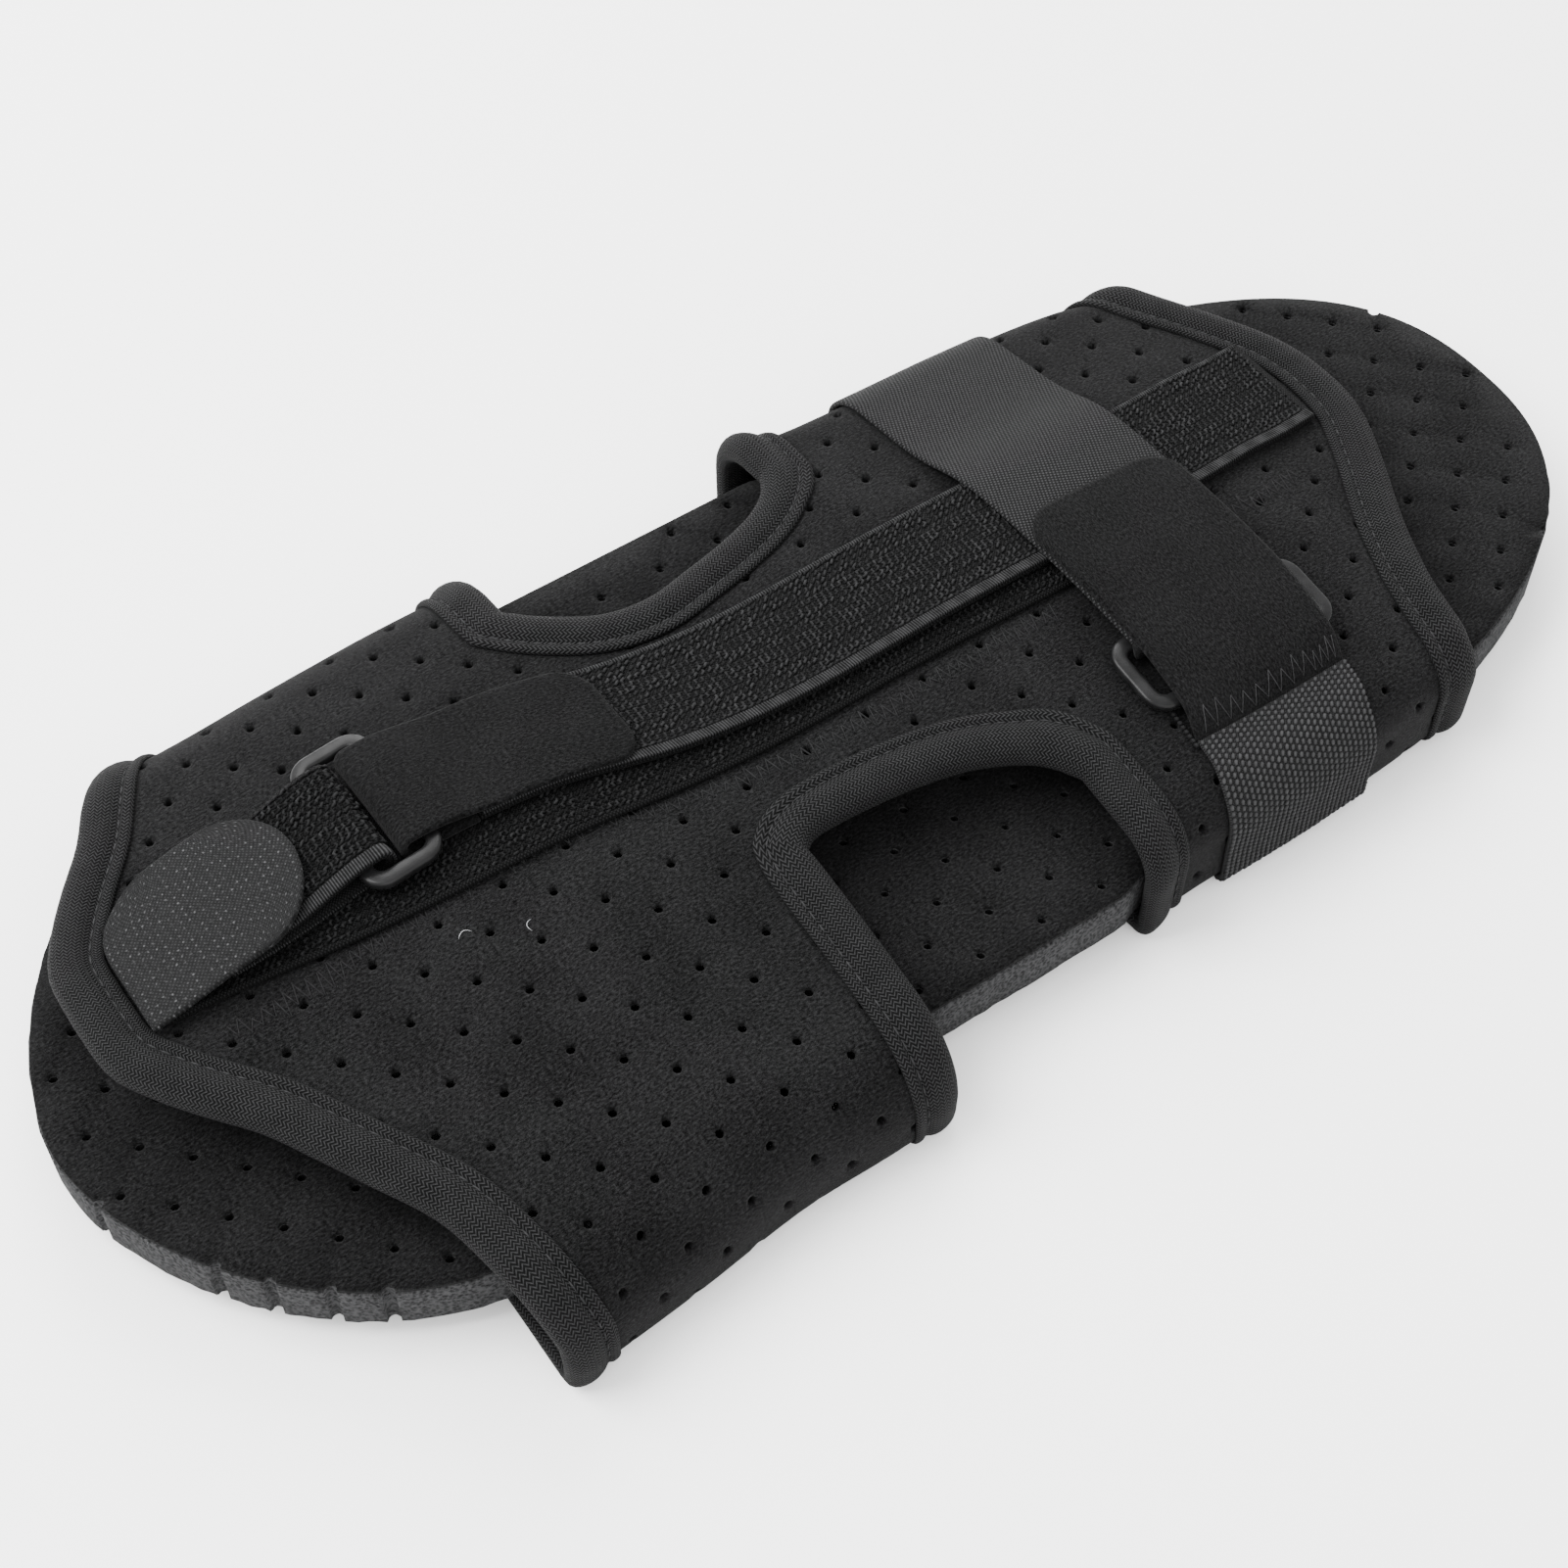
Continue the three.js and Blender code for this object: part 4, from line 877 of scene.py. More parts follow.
def zone_rows(low, high, counts):
    """Places round the wrap from one zone to another, with a number of steps in each zone."""
    half = np.concatenate([zone + np.arange(n) / n for zone, n in enumerate(counts)])
    both = np.concatenate([-half[:0:-1], half])
    between = both[(both > low + 0.01) & (both < high - 0.01)]
    return np.concatenate([[low], between, [high]])


def wrap_edges():
    """The wrap's free edges as places along the board and zones round it."""
    ring = zone_rows(-ZONES, ZONES, ROUND_STEPS)
    left = (edge_place(left_edge, ring), ring)
    right = (edge_place(right_edge, ring), ring)
    along = np.linspace(0, 1, OPENING_STEPS)
    front_x, front_across = front_opening(along)
    back_x, back_across = back_opening(along)
    front_zone = zone_of(wrap_section(front_x), front_across)
    back_zone = zone_of(wrap_section(back_x), back_across)
    sides = {}
    for name, k in (("left", 0), ("right", -1)):
        front_rows = zone_rows(-ZONES, front_zone[k], ROUND_STEPS)
        back_rows = zone_rows(back_zone[k], ZONES, ROUND_STEPS)
        sides[name] = (
            (band_side(front_x[k], back_x[k], front_rows), front_rows),
            (band_side(front_x[k], back_x[k], back_rows), back_rows),
        )
    front = (front_x, front_zone)
    back = (back_x, back_zone)
    return left, right, front, back, sides


def joined(*runs):
    """One line of places from several runs, each a pair of x and zone, without doubled points."""
    x = np.concatenate([run[0] for run in runs])
    zone = np.concatenate([run[1] for run in runs])
    across = across_of(wrap_section(x), zone)
    gap = np.hypot(np.diff(x, append=x[0]), np.diff(across, append=across[0]))
    keep = np.roll(gap, 1) > 1e-3
    keep[0] = gap[-1] > 1e-3
    return x[keep], zone[keep]


def reverse(run):
    return run[0][::-1], run[1][::-1]


def make_wrap():
    left, right, front, back, sides = wrap_edges()
    seam = np.arange(0, 1, 0.05)
    lx, rx = sides["left"][0][0][0], sides["right"][0][0][0]
    left_seam = left[0][0] + (lx - left[0][0]) * seam
    right_seam = rx + (right[0][0] - rx) * seam
    full = np.full(len(seam), float(ZONES))
    x, zone = joined(
        reverse(left),
        (left_seam, -full),
        sides["left"][0],
        front,
        reverse(sides["right"][0]),
        (right_seam, -full),
        right,
        (right_seam[::-1], full),
        reverse(sides["right"][1]),
        reverse(back),
        sides["left"][1],
        (left_seam[::-1], full),
    )
    across = across_of(wrap_section(x), zone)
    outline = np.stack([x, across], 1)
    rows = zone_rows(-ZONES, ZONES, ROUND_STEPS)[1:-1]
    stations = np.arange(x.min(), x.max(), WRAP_GRID)
    gx, gz = np.meshgrid(stations, rows)
    grid = np.stack([gx.ravel(), across_of(wrap_section(gx.ravel()), gz.ravel())], 1)
    centres = hole_centres(outline.min(0), outline.max(0))
    flat = fill_flat(outline, centres, grid, WRAP_SPACING)
    boundary = flat[2][0]
    on_seam = np.abs(np.abs(zone) - ZONES) < 1e-6
    skip = {
        (boundary[k], boundary[(k + 1) % len(boundary)])
        for k in range(len(boundary))
        if on_seam[k] and on_seam[(k + 1) % len(boundary)]
    }

    def face(height):
        return lambda coords, dip: on_cloth(coords[:, 0], coords[:, 1], height - dip)

    wrap = layer_object("wrap_cloth", flat, face(-WRAP_WALL), face(0.0), skip, merge=True)
    dress(wrap, FLOCK, "flock", "wrap")


# Section of the binding from its rim over the groove and the bead, then round the cut edge and back
# under the wrap. Columns: inset from the cut edge, height above the wrap.
BINDING_PROFILE = np.array([
    (9.0, 0.1), (9.05, 0.7), (8.7, 1.15), (8.1, 1.35), (7.4, 1.3), (6.9, 1.0), (6.5, 0.75), (6.1, 1.0),
    (5.5, 1.55), (4.6, 2.1), (3.5, 2.45), (2.3, 2.5), (1.2, 2.3), (0.2, 1.85), (-0.6, 1.2),
    (-1.15, 0.3), (-1.4, -0.7), (-1.35, -1.7), (-0.95, -2.5), (-0.2, -2.95), (1.0, -3.0),
    (7.0, -3.0), (7.0, -2.5), (-0.2, -2.45), (-0.2, 0.1),
])

LOOP_STEP = 1.1
CORNER_SMOOTHING = 36
SIDE_PRESS = 0.3
GROOVE_ROW = 6
GROOVE_LEVEL = 0.85
GROOVE_BREAK = 12
STITCH_LENGTH = 2.0
STITCH_PITCH = 2.9
STITCH_RADIUS = 0.2


def flat_steps(x, across):
    """Steps from each place to the next in the flat cloth, across the seam where that is shorter."""
    girth = 2 * across_of(wrap_section(x), ZONES)
    rise = np.roll(across, -1) - across
    return np.stack([np.roll(x, -1) - x, rise - girth * np.round(rise / girth)], 1)


def fine_loop(x, zone):
    """A closed line of places at short even steps."""
    size = np.linalg.norm(flat_steps(x, across_of(wrap_section(x), zone)), axis=1)
    keep = size > 1e-3
    x, zone, size = x[keep], zone[keep], size[keep]
    turns = np.roll(zone, -1) - zone
    turns -= 2 * ZONES * np.round(turns / (2 * ZONES))
    fine_x, fine_zone = [], []
    for k, length in enumerate(size):
        share = np.arange(max(round(length / LOOP_STEP), 1)) / max(round(length / LOOP_STEP), 1)
        fine_x.append(x[k] + (np.roll(x, -1)[k] - x[k]) * share)
        fine_zone.append(zone[k] + turns[k] * share)
    zone = np.concatenate(fine_zone)
    return np.concatenate(fine_x), (zone + ZONES) % (2 * ZONES) - ZONES


def sweep_binding(name, loop, node):
    """Tape folded round a free edge, worked out in the flat cloth and flattened on the floor."""
    x, zone = fine_loop(*loop)
    across = across_of(wrap_section(x), zone)
    ahead = flat_steps(x, across)
    size = np.linalg.norm(ahead, axis=1)
    along = ahead / size[:, None] + np.roll(ahead / size[:, None], 1, 0)
    for _ in range(CORNER_SMOOTHING):
        along = (np.roll(along, 1, 0) + 2 * along + np.roll(along, -1, 0)) / 4
    along /= np.linalg.norm(along, axis=1)[:, None]
    straight = np.clip((np.abs(zone) - ARC_END) / EASE_ZONE, 0, 1)
    square = np.stack([along[:, 1], -along[:, 0]], 1)
    sideways = np.stack([np.sign(along[:, 1]), 0 * zone], 1)
    inward = square + (sideways - square) * straight[:, None]
    inward /= np.linalg.norm(inward, axis=1)[:, None]
    inset, height = BINDING_PROFILE.T
    press = 1 - SIDE_PRESS * np.clip((np.abs(zone) - ARC_END) / 2, 0, 1)[:, None]
    height = np.where(height > 0, height * press, height)
    px = x[:, None] + inset * inward[:, :1]
    row = across_of(wrap_section(px), zone[:, None])
    pa = row + inset * inward[:, 1:]
    points = on_cloth(px, pa, height)
    points[..., 2] = np.maximum(points[..., 2], 0)
    length = np.concatenate([[0], np.cumsum(size)])
    points = np.concatenate([points, points[:1]])
    girdle = run_length(BINDING_PROFILE)
    shape = Shape()
    uv = np.stack(np.meshgrid(length, girdle, indexing="ij"), -1)
    shape.grid(points, uv, close_v=True)
    dress(shape.make(name, merge=True), BINDING, "binding", node)
    return zone, px, pa


def stitch_run(shape, x, across):
    """Short stitches along a line on the wrap, in the groove of the binding."""
    groove = np.stack([x, across], 1)
    s = run_length(groove)
    for start in np.arange(STITCH_PITCH / 2, s[-1] - STITCH_PITCH, STITCH_PITCH):
        t = start + STITCH_LENGTH * np.linspace(0, 1, 4)
        line = np.column_stack([on_line(t, s, groove), GROOVE_LEVEL + 0 * t])
        tube(shape, line, STITCH_RADIUS, 5, on_cloth)


def make_bindings():
    left, right, front, back, sides = wrap_edges()
    loops = {
        "left_end_binding": joined(left),
        "right_end_binding": joined(reverse(right)),
        "side_opening_binding": joined(
            reverse(front), reverse(sides["left"][0]), reverse(sides["left"][1]), back,
            sides["right"][1], sides["right"][0],
        ),
    }
    threads = Shape()
    for name, loop in loops.items():
        zone, px, pa = sweep_binding(name + "_tape", loop, name)
        keep = np.abs(zone) < SIDE_END
        x, across = px[keep, GROOVE_ROW], pa[keep, GROOVE_ROW]
        jumps = np.flatnonzero(np.hypot(np.diff(x), np.diff(across)) > GROOVE_BREAK) + 1
        for part in np.split(np.arange(len(x)), jumps):
            if len(part) > 3:
                stitch_run(threads, x[part], across[part])
    dress(threads.make("binding_stitches"), THREAD, "binding")


# Straps

SLOPE_REACH = 0.35
EDGE_CROWDING = 1.7


def rounded_path(points, radius, step):
    """Line through corner points with the corners rounded, as evenly spaced places."""
    points = [np.array(p, float) for p in points]
    line = [points[0]]
    for before, at, after in zip(points, points[1:], points[2:]):
        into, out = before - at, after - at
        cut = min(radius, np.linalg.norm(into) / 2.05, np.linalg.norm(out) / 2.05)
        start = at + into / np.linalg.norm(into) * cut
        end = at + out / np.linalg.norm(out) * cut
        for t in np.linspace(0, 1, 7):
            line.append((1 - t) ** 2 * start + 2 * t * (1 - t) * at + t**2 * end)
    line.append(points[-1])
    line = np.array(line)
    s = run_length(line)
    even = np.linspace(0, s[-1], max(int(s[-1] / step), 4) + 1)
    return on_line(even, s, line)


class Ribbon:
    """A flat strap: a middle line of (along, height) places, a width and a thickness. place puts
    (along, sideways, height) on the wrap. start and end give how far the ends draw back sideways."""

    def __init__(self, path, width, thickness, place, start=None, end=None):
        self.path = path
        self.width = width
        self.place = place
        self.thickness = thickness
        self.s = run_length(path)
        self.start = start
        self.end = end

    def at(self, s, side, level):
        """Places at a distance along, a distance from the middle line and a level from the middle."""
        s, side, level = np.broadcast_arrays(*[np.asarray(v, float) for v in (s, side, level)])
        total = self.s[-1]
        reach = min(self.width / 2, total / 2)
        if self.end is not None:
            spot = np.clip((s - total + reach) / reach, 0, 1)
            s = s - self.end(side) * spot
        if self.start is not None:
            spot = np.clip((reach - s) / reach, 0, 1)
            s = s + self.start(side) * spot
        a = np.interp(s, self.s, self.path[:, 0])
        h = np.interp(s, self.s, self.path[:, 1])
        ahead, behind = s + SLOPE_REACH, s - SLOPE_REACH
        da = np.interp(ahead, self.s, self.path[:, 0]) - np.interp(behind, self.s, self.path[:, 0])
        dh = np.interp(ahead, self.s, self.path[:, 1]) - np.interp(behind, self.s, self.path[:, 1])
        size = np.hypot(da, dh) + 1e-9
        return self.place(a - dh / size * level, side, h + da / size * level)

    def make(self, name, material, slot, node, sides=15):
        """The whole strap with rounded edges as a dressed object, with rows that crowd at the edges."""
        shape = Shape()
        turn = np.linspace(-1, 1, sides)
        half = self.width / 2
        across = half * np.sign(turn) * (1 - (1 - np.abs(turn)) ** EDGE_CROWDING)
        t = self.thickness / 2
        room = half - np.abs(across)
        bulge = np.sqrt(np.clip(1 - (1 - np.clip(room / t, 0, 1)) ** 2, 0, 1))
        side = np.concatenate([across, across[-2:0:-1]])
        level = t * np.concatenate([bulge, -bulge[-2:0:-1]])
        points = self.at(self.s[:, None], side[None], level[None])
        uv = np.stack(np.broadcast_arrays(self.s[:, None], side[None]), -1)
        start = shape.grid(points, uv, close_v=True)
        n = len(side)
        last = start + (len(self.s) - 1) * n
        for first in (start, last):
            for k in range(sides - 2):
                quad = [first + k, first + k + 1, first + (n - k - 1) % n, first + (n - k) % n]
                shape.cap(dict.fromkeys(quad))
            shape.cap([first + sides - 2, first + sides - 1, first + sides])
        dress(shape.make(name), material, slot, node)


def round_end(width, radius):
    def inset(side):
        depth = np.clip(radius - (width / 2 - np.abs(side)), 0, radius)
        return radius - np.sqrt(radius**2 - depth**2)

    return inset


def along_place(line):
    return lambda a, side, h: on_cloth(a, line(a) + side, h)


PILE_WAVE = 1.45
PILE_ROW = 1.32
PILE_RADIUS = 0.3
PILE_HEIGHT = 0.7
PILE_SINK = 0.25
PILE_STEPS = 6
PILE_WANDER = 0.6
PILE_TALL = (0.45, 1.15)
PILE_SLIP = 0.3
PILE_SWAY = 0.5
PILE_LAP = 6
SELVEDGE_RIB = 0.62
SELVEDGE_RELIEF = 0.09
SELVEDGE_RISE = 0.12
SELVEDGE_SWELL = 0.15
SELVEDGE_THICKNESS = 0.6
SELVEDGE_START = 0.6
SELVEDGE_STOP = 0.5


def pile(ribbon, shape, run, sides, level, seed):
    """Waving yarns along a strap that rise in small curls and dip between them. run gives distances
    along the strap, sides gives shares of its width."""
    seeded = np.random.default_rng(seed)
    from_s, to_s = run
    w0, w1 = sides[0] * ribbon.width + PILE_RADIUS, sides[1] * ribbon.width - PILE_RADIUS
    count = max(round((w1 - w0) / PILE_ROW), 1)
    curls = int((to_s - from_s) / PILE_WAVE)
    for c in range(count + 1):
        turn = np.arange(PILE_STEPS * curls + 1) / PILE_STEPS
        knots = np.arange(curls + 2)
        wander = np.interp(turn, knots, seeded.uniform(-PILE_WANDER, PILE_WANDER, curls + 2))
        tall = np.interp(turn, knots, seeded.uniform(*PILE_TALL, curls + 2))
        phase = seeded.uniform(0, 2 * math.pi) + 1.5 * wander
        s = from_s + turn * PILE_WAVE + PILE_SLIP * np.sin(4 * math.pi * turn + phase)
        sway = PILE_SWAY * np.sin(2 * math.pi * turn + phase) + 0.4 * wander
        side = w0 + c * (w1 - w0) / count + sway
        h = level - PILE_SINK + PILE_HEIGHT * tall * np.abs(np.cos(math.pi * turn + phase / 2))
        line = np.stack([np.clip(s, from_s, to_s), np.clip(side, w0, w1), h], 1)
        tube(shape, line, PILE_RADIUS, 5, ribbon.at, taper=False)


def selvedge(ribbon, shape, low, high, lift, stop):
    """Fine ribs across the edge of a strap, which curls up a little."""
    s = np.arange(SELVEDGE_START, ribbon.s[-1] - stop, SELVEDGE_RIB / 4)
    w0, w1 = low * ribbon.width, high * ribbon.width
    side = np.linspace(w0, w1, 7)
    share = (side - w0) / (w1 - w0)
    outer = 1 - share if abs(w0) > abs(w1) else share
    ribs = SELVEDGE_RELIEF * np.sin(2 * math.pi * s / SELVEDGE_RIB)
    curl = lift * outer**1.5 + SELVEDGE_SWELL * np.sin(math.pi * share)
    top = ribbon.thickness / 2 + SELVEDGE_RISE + curl
    upper = top[None] + ribs[:, None] * np.sin(math.pi * np.clip(share, 0.06, 0.94))[None]
    lower = np.tile(top[None] - SELVEDGE_THICKNESS, (len(s), 1))
    ring_side = np.concatenate([side, side[::-1]])
    level = np.concatenate([upper, lower[:, ::-1]], 1)
    points = ribbon.at(s[:, None], ring_side[None], level)
    uv = np.stack(np.broadcast_arrays(s[:, None], ring_side[None]), -1)
    start = shape.grid(points, uv, close_v=True)
    n = len(ring_side)
    last = start + (len(s) - 1) * n
    shape.cap(range(start, start + n))
    shape.cap(range(last + n - 1, last - 1, -1))


def loop_tape(ribbon, name, node, pile_run, pile_sides, level, seed, edges, edging, stop=SELVEDGE_STOP):
    """Loop tape: its backing, its pile and its ribbed edges."""
    ribbon.make(name + "_cloth", STRAP_BACK, "loop_pile", node)
    yarn = Shape()
    pile(ribbon, yarn, pile_run, pile_sides, level, seed)
    dress(yarn.make(name + "_pile"), YARN, "loop_pile")
    ribs = Shape()
    for low, high, lift in edges:
        selvedge(ribbon, ribs, low, high, lift, stop)
    dress(ribs.make(name + "_selvedge"), edging, "loop_pile")


def make_base_strip():
    start = left_stop(strip_line(-LEFT_BAND_END - LEFT_TONGUE))
    level = STRIP_LEVEL + LOOP_STRIP_THICKNESS / 2
    path = rounded_path([(start, level), (LOOP_STRIP_END, level)], 1, 2.0)
    ribbon = Ribbon(path, LOOP_STRIP_WIDTH, LOOP_STRIP_THICKNESS, along_place(strip_line))
    loop_tape(
        ribbon, "base_strip", "base_loop_strip", pile_run=(1.5, ribbon.s[-1] - 1),
        pile_sides=(-0.5, 0.0), level=0.6, seed=3, edges=[(-0.53, -0.49, -0.5)], edging=STRAP_BACK,
        stop=0.6,
    )


def make_long_strap():
    ring_right = SMALL_RING_X + SMALL_RING_LENGTH / 2
    t = STRAP_THICKNESS / 2
    end = right_stop(strap_line(RIGHT_BAND_END))
    path = rounded_path([
        (ring_right + TAB_LEG + GAP, STRAP_LEVEL + t),
        (LOOP_STRIP_END + GAP, STRAP_LEVEL + t),
        (LOOP_STRIP_END + STRAP_THICKNESS * RAMP, STRIP_LEVEL + t),
        (end, STRIP_LEVEL + t),
    ], 4, 1.6)
    ribbon = Ribbon(path, STRAP_WIDTH, STRAP_THICKNESS, along_place(strap_line))
    under_tab = TAB_LENGTH - TAB_LEG - PILE_LAP
    loop_tape(
        ribbon, "long_strap", "long_strap", pile_run=(under_tab, ribbon.s[-1] - 0.8),
        pile_sides=(-0.4, 0.47), level=0.8, seed=7, edges=[(-0.5, -0.4, 0.7), (0.46, 0.5, 0.0)],
        edging=RIB,
    )


# How far the folds swell past the ring's bars
TAB_BULGE = 2.6
HOLDER_BULGE = 1.7


def make_long_tab():
    ring_right = SMALL_RING_X + SMALL_RING_LENGTH / 2
    t = TAB_THICKNESS / 2
    bar = ring_right - RING_BAR - FOLD_GAP - t - TAB_BULGE
    rest = STRAP_LEVEL + STRAP_THICKNESS + GAP + t
    path = rounded_path([
        (ring_right + TAB_LEG, STRAP_LEVEL + t),
        (bar, STRAP_LEVEL + t),
        (bar, TAB_LEVEL + t),
        (ring_right, TAB_LEVEL + t),
        (ring_right + TAB_DROP, rest),
        (ring_right + TAB_LENGTH, rest),
    ], 3.0, 0.8)
    ribbon = Ribbon(path, STRAP_WIDTH, TAB_THICKNESS, along_place(strap_line),
                    end=round_end(STRAP_WIDTH, TAB_CORNER))
    ribbon.make("long_strap_tab_velvet", VELVET, "velvet", "long_strap_tab", sides=23)


def make_holder():
    ring_left = SMALL_RING_X - SMALL_RING_LENGTH / 2
    t = TAB_THICKNESS / 2
    bar = ring_left + RING_BAR + FOLD_GAP + t + HOLDER_BULGE
    rest = STRAP_LEVEL + TAB_THICKNESS + GAP + t
    path = rounded_path([
        (HOLDER_END, rest),
        (ring_left - HOLDER_DROP, rest),
        (ring_left, TAB_LEVEL + t),
        (bar, TAB_LEVEL + t),
        (bar, STRAP_LEVEL + t),
        (HOLDER_END - HOLDER_LAP, STRAP_LEVEL + t),
    ], 3.0, 0.8)
    ribbon = Ribbon(path, STRAP_WIDTH, TAB_THICKNESS, along_place(strap_line))
    loop_tape(
        ribbon, "ring_loop", "ring_loop_strap", pile_run=(0.5, bar - HOLDER_END + 1.5),
        pile_sides=(-0.38, 0.46), level=0.7, seed=13, edges=[(-0.5, -0.39, 0.35)], edging=RIB,
    )


PATCH_TUCK = 2.0
PATCH_FOOT_CORNER = 12
PATCH_POINT = 2.0


def make_patch():
    tip = SMALL_RING_X - SMALL_RING_LENGTH / 2 - PATCH_SETBACK + PATCH_TUCK
    t = PATCH_THICKNESS / 2
    holder_top = STRAP_LEVEL + TAB_THICKNESS + STRAP_THICKNESS + 2 * GAP + t
    middle = left_stop(strap_line(-LEFT_BAND_END - LEFT_TONGUE)) - PATCH_TUCK
    path = rounded_path([
        (middle, STRAP_LEVEL + t),
        (middle + PATCH_FOOT, STRAP_LEVEL + t),
        (HOLDER_END - GAP, holder_top),
        (tip, holder_top + PATCH_TIP_RISE),
    ], 5.0, 0.8)

    def foot(side):
        corner = round_end(PATCH_WIDTH, PATCH_FOOT_CORNER)(np.maximum(side, 0))
        corner = corner - PATCH_POINT * (np.maximum(-side, 0) / (PATCH_WIDTH / 2)) ** 2
        return left_stop(strap_line(-LEFT_BAND_END - LEFT_TONGUE) + side) - PATCH_TUCK - middle + corner

    ribbon = Ribbon(path, PATCH_WIDTH, PATCH_THICKNESS, along_place(strap_line),
                    start=foot, end=round_end(PATCH_WIDTH, PATCH_WIDTH / 2))
    ribbon.make("hook_patch_cloth", PATCH, "grey_weave", "hook_patch", sides=31)


# Strap across the board

WIDE_RAMP = 13
BEAD_COLUMN = 1.28
BEAD_ROW = 1.14
BEAD_START = 0.9
BEAD_RADIUS = 0.42
BEAD_REACH = 0.48
BEAD_LEAN = 0.3
BEAD_SINK = 0.2
BEAD_SWELL = 0.3
# Places of the coarser knuckles at the webbing's left edge: from, to and pitch
EDGE_BEADS = (-9.0, 1.5, 1.1)
EDGE_BEAD_RADIUS = 0.5
EDGE_BEAD_REACH = 0.5
SEAM_FOOT = 0.7
SEAM_TIP = (4.4, 6.2)
SEAM_START = 2.2
SEAM_END = 1.2
SEAM_MOST = 40
DENSE_SHARE = 0.3
DENSE_STEP = (0.6, 1.0)
LOOSE_STEP = (1.2, 1.9)
THREAD_RADIUS = 0.1

# The wrap's section under the middle of the strap
MIDDLE = wrap_section(WIDE_STRAP_X)


def cross_place(a, side, h):
    """a is the distance round the section in the middle of the strap."""
    zone = zone_of(MIDDLE, a)
    x = WIDE_STRAP_X + WIDE_STRAP_WIDTH * sample(WIDE_STRAP_LINE, "zone", "shift", zone) + side
    return on_wrap(x, zone, h + undulate(x, a))


def make_wide_strap():
    girth = float(across_of(MIDDLE, ZONES))
    t = WIDE_STRAP_THICKNESS / 2
    strap_top = float(strap_line(WIDE_STRAP_X)) + STRAP_WIDTH / 2
    bar = LARGE_RING_ACROSS + LARGE_RING_WIDTH / 2 - RING_BAR
    fold = bar - FOLD_GAP - t
    path = rounded_path([
        (girth - GAP, GAP + t),
        (strap_top + WIDE_RAMP + GAP, GAP + t),
        (strap_top + GAP, WIDE_TOP_LEVEL + t),
        (fold, WIDE_TOP_LEVEL + t),
        (fold, GAP + t),
        (bar + WIDE_LEG, GAP + t),
    ], 10.0, 0.9)
    ribbon = Ribbon(path, WIDE_STRAP_WIDTH, WIDE_STRAP_THICKNESS, cross_place,
                    end=round_end(WIDE_STRAP_WIDTH, WIDE_STRAP_WIDTH / 2))
    ribbon.make("wide_strap_cloth", GREY_WEAVE, "grey_weave", "wide_strap", sides=21)


def make_wide_tab():
    t = WIDE_TAB_THICKNESS / 2
    bar = LARGE_RING_ACROSS + LARGE_RING_WIDTH / 2 - RING_BAR
    foot = LARGE_RING_ACROSS - LARGE_RING_WIDTH / 2
    step = bar - WIDE_STRAP_THICKNESS - FOLD_GAP - GAP
    path = rounded_path([
        (WEBBING_TOP, GAP + t),
        (foot - RING_THICKNESS, WIDE_TOP_LEVEL + t),
        (step, WIDE_TAB_LEVEL + t),
        (WIDE_TAB_END, WIDE_TAB_LEVEL + t),
    ], 16.0, 0.9)
    tab = Ribbon(path, WIDE_STRAP_WIDTH, WIDE_TAB_THICKNESS, cross_place,
                 end=round_end(WIDE_STRAP_WIDTH, WIDE_TAB_CORNER))
    tab.make("wide_strap_tab_velvet", VELVET, "velvet", "wide_strap_tab", sides=25)
    return tab


def make_webbing(tab):
    girth = float(across_of(MIDDLE, ZONES))
    t = WIDE_STRAP_THICKNESS / 2
    path = rounded_path([(-girth + GAP, GAP + t), (WEBBING_TOP - GAP, GAP + t)], 1, 0.9)
    webbing = Ribbon(path, WIDE_STRAP_WIDTH, WIDE_STRAP_THICKNESS, cross_place)
    webbing.make("front_webbing_cloth", WEBBING, "webbing", "front_webbing", sides=25)
    dress(webbing_beads(webbing).make("front_webbing_beads"), BEADS, "webbing")
    dress(join_stitches(tab).make("join_stitches"), THREAD, "webbing")


def webbing_beads(webbing):
    """Yarn knuckles in leaning rows over the webbing, down to the floor, and a coarse left edge."""
    shape = Shape()
    seeded = random.Random(31)
    reach = float(across_of(MIDDLE, CORNER_END)) + WEBBING_TOP
    count = int((WIDE_STRAP_WIDTH - 2 * BEAD_RADIUS) / BEAD_COLUMN)
    first = -count * BEAD_COLUMN / 2
    t = WIDE_STRAP_THICKNESS / 2
    share = np.linspace(-1, 1, 4)
    for column in range(count + 1):
        side = first + column * BEAD_COLUMN
        for s in np.arange(BEAD_START + (column % 2) * BEAD_ROW / 2, reach, BEAD_ROW):
            lean = BEAD_LEAN + seeded.uniform(-0.1, 0.1)
            rise = t - BEAD_SINK + BEAD_SWELL * (1 - share**2) + seeded.uniform(-0.06, 0.06)
            line = np.stack([webbing.s[-1] - s + BEAD_REACH * share, side + lean * share, rise], 1)
            tube(shape, line, BEAD_RADIUS, 6, webbing.at)
    outer = -WIDE_STRAP_WIDTH / 2 - EDGE_BEAD_RADIUS
    for s in np.arange(*EDGE_BEADS):
        line = np.stack([s + EDGE_BEAD_REACH * share, outer + BEAD_LEAN * share, 0.1 + 0 * share], 1)
        tube(shape, line, EDGE_BEAD_RADIUS, 6, lambda a, b, h: cross_place(WEBBING_TOP - a, b, GAP + t + h))
    return shape


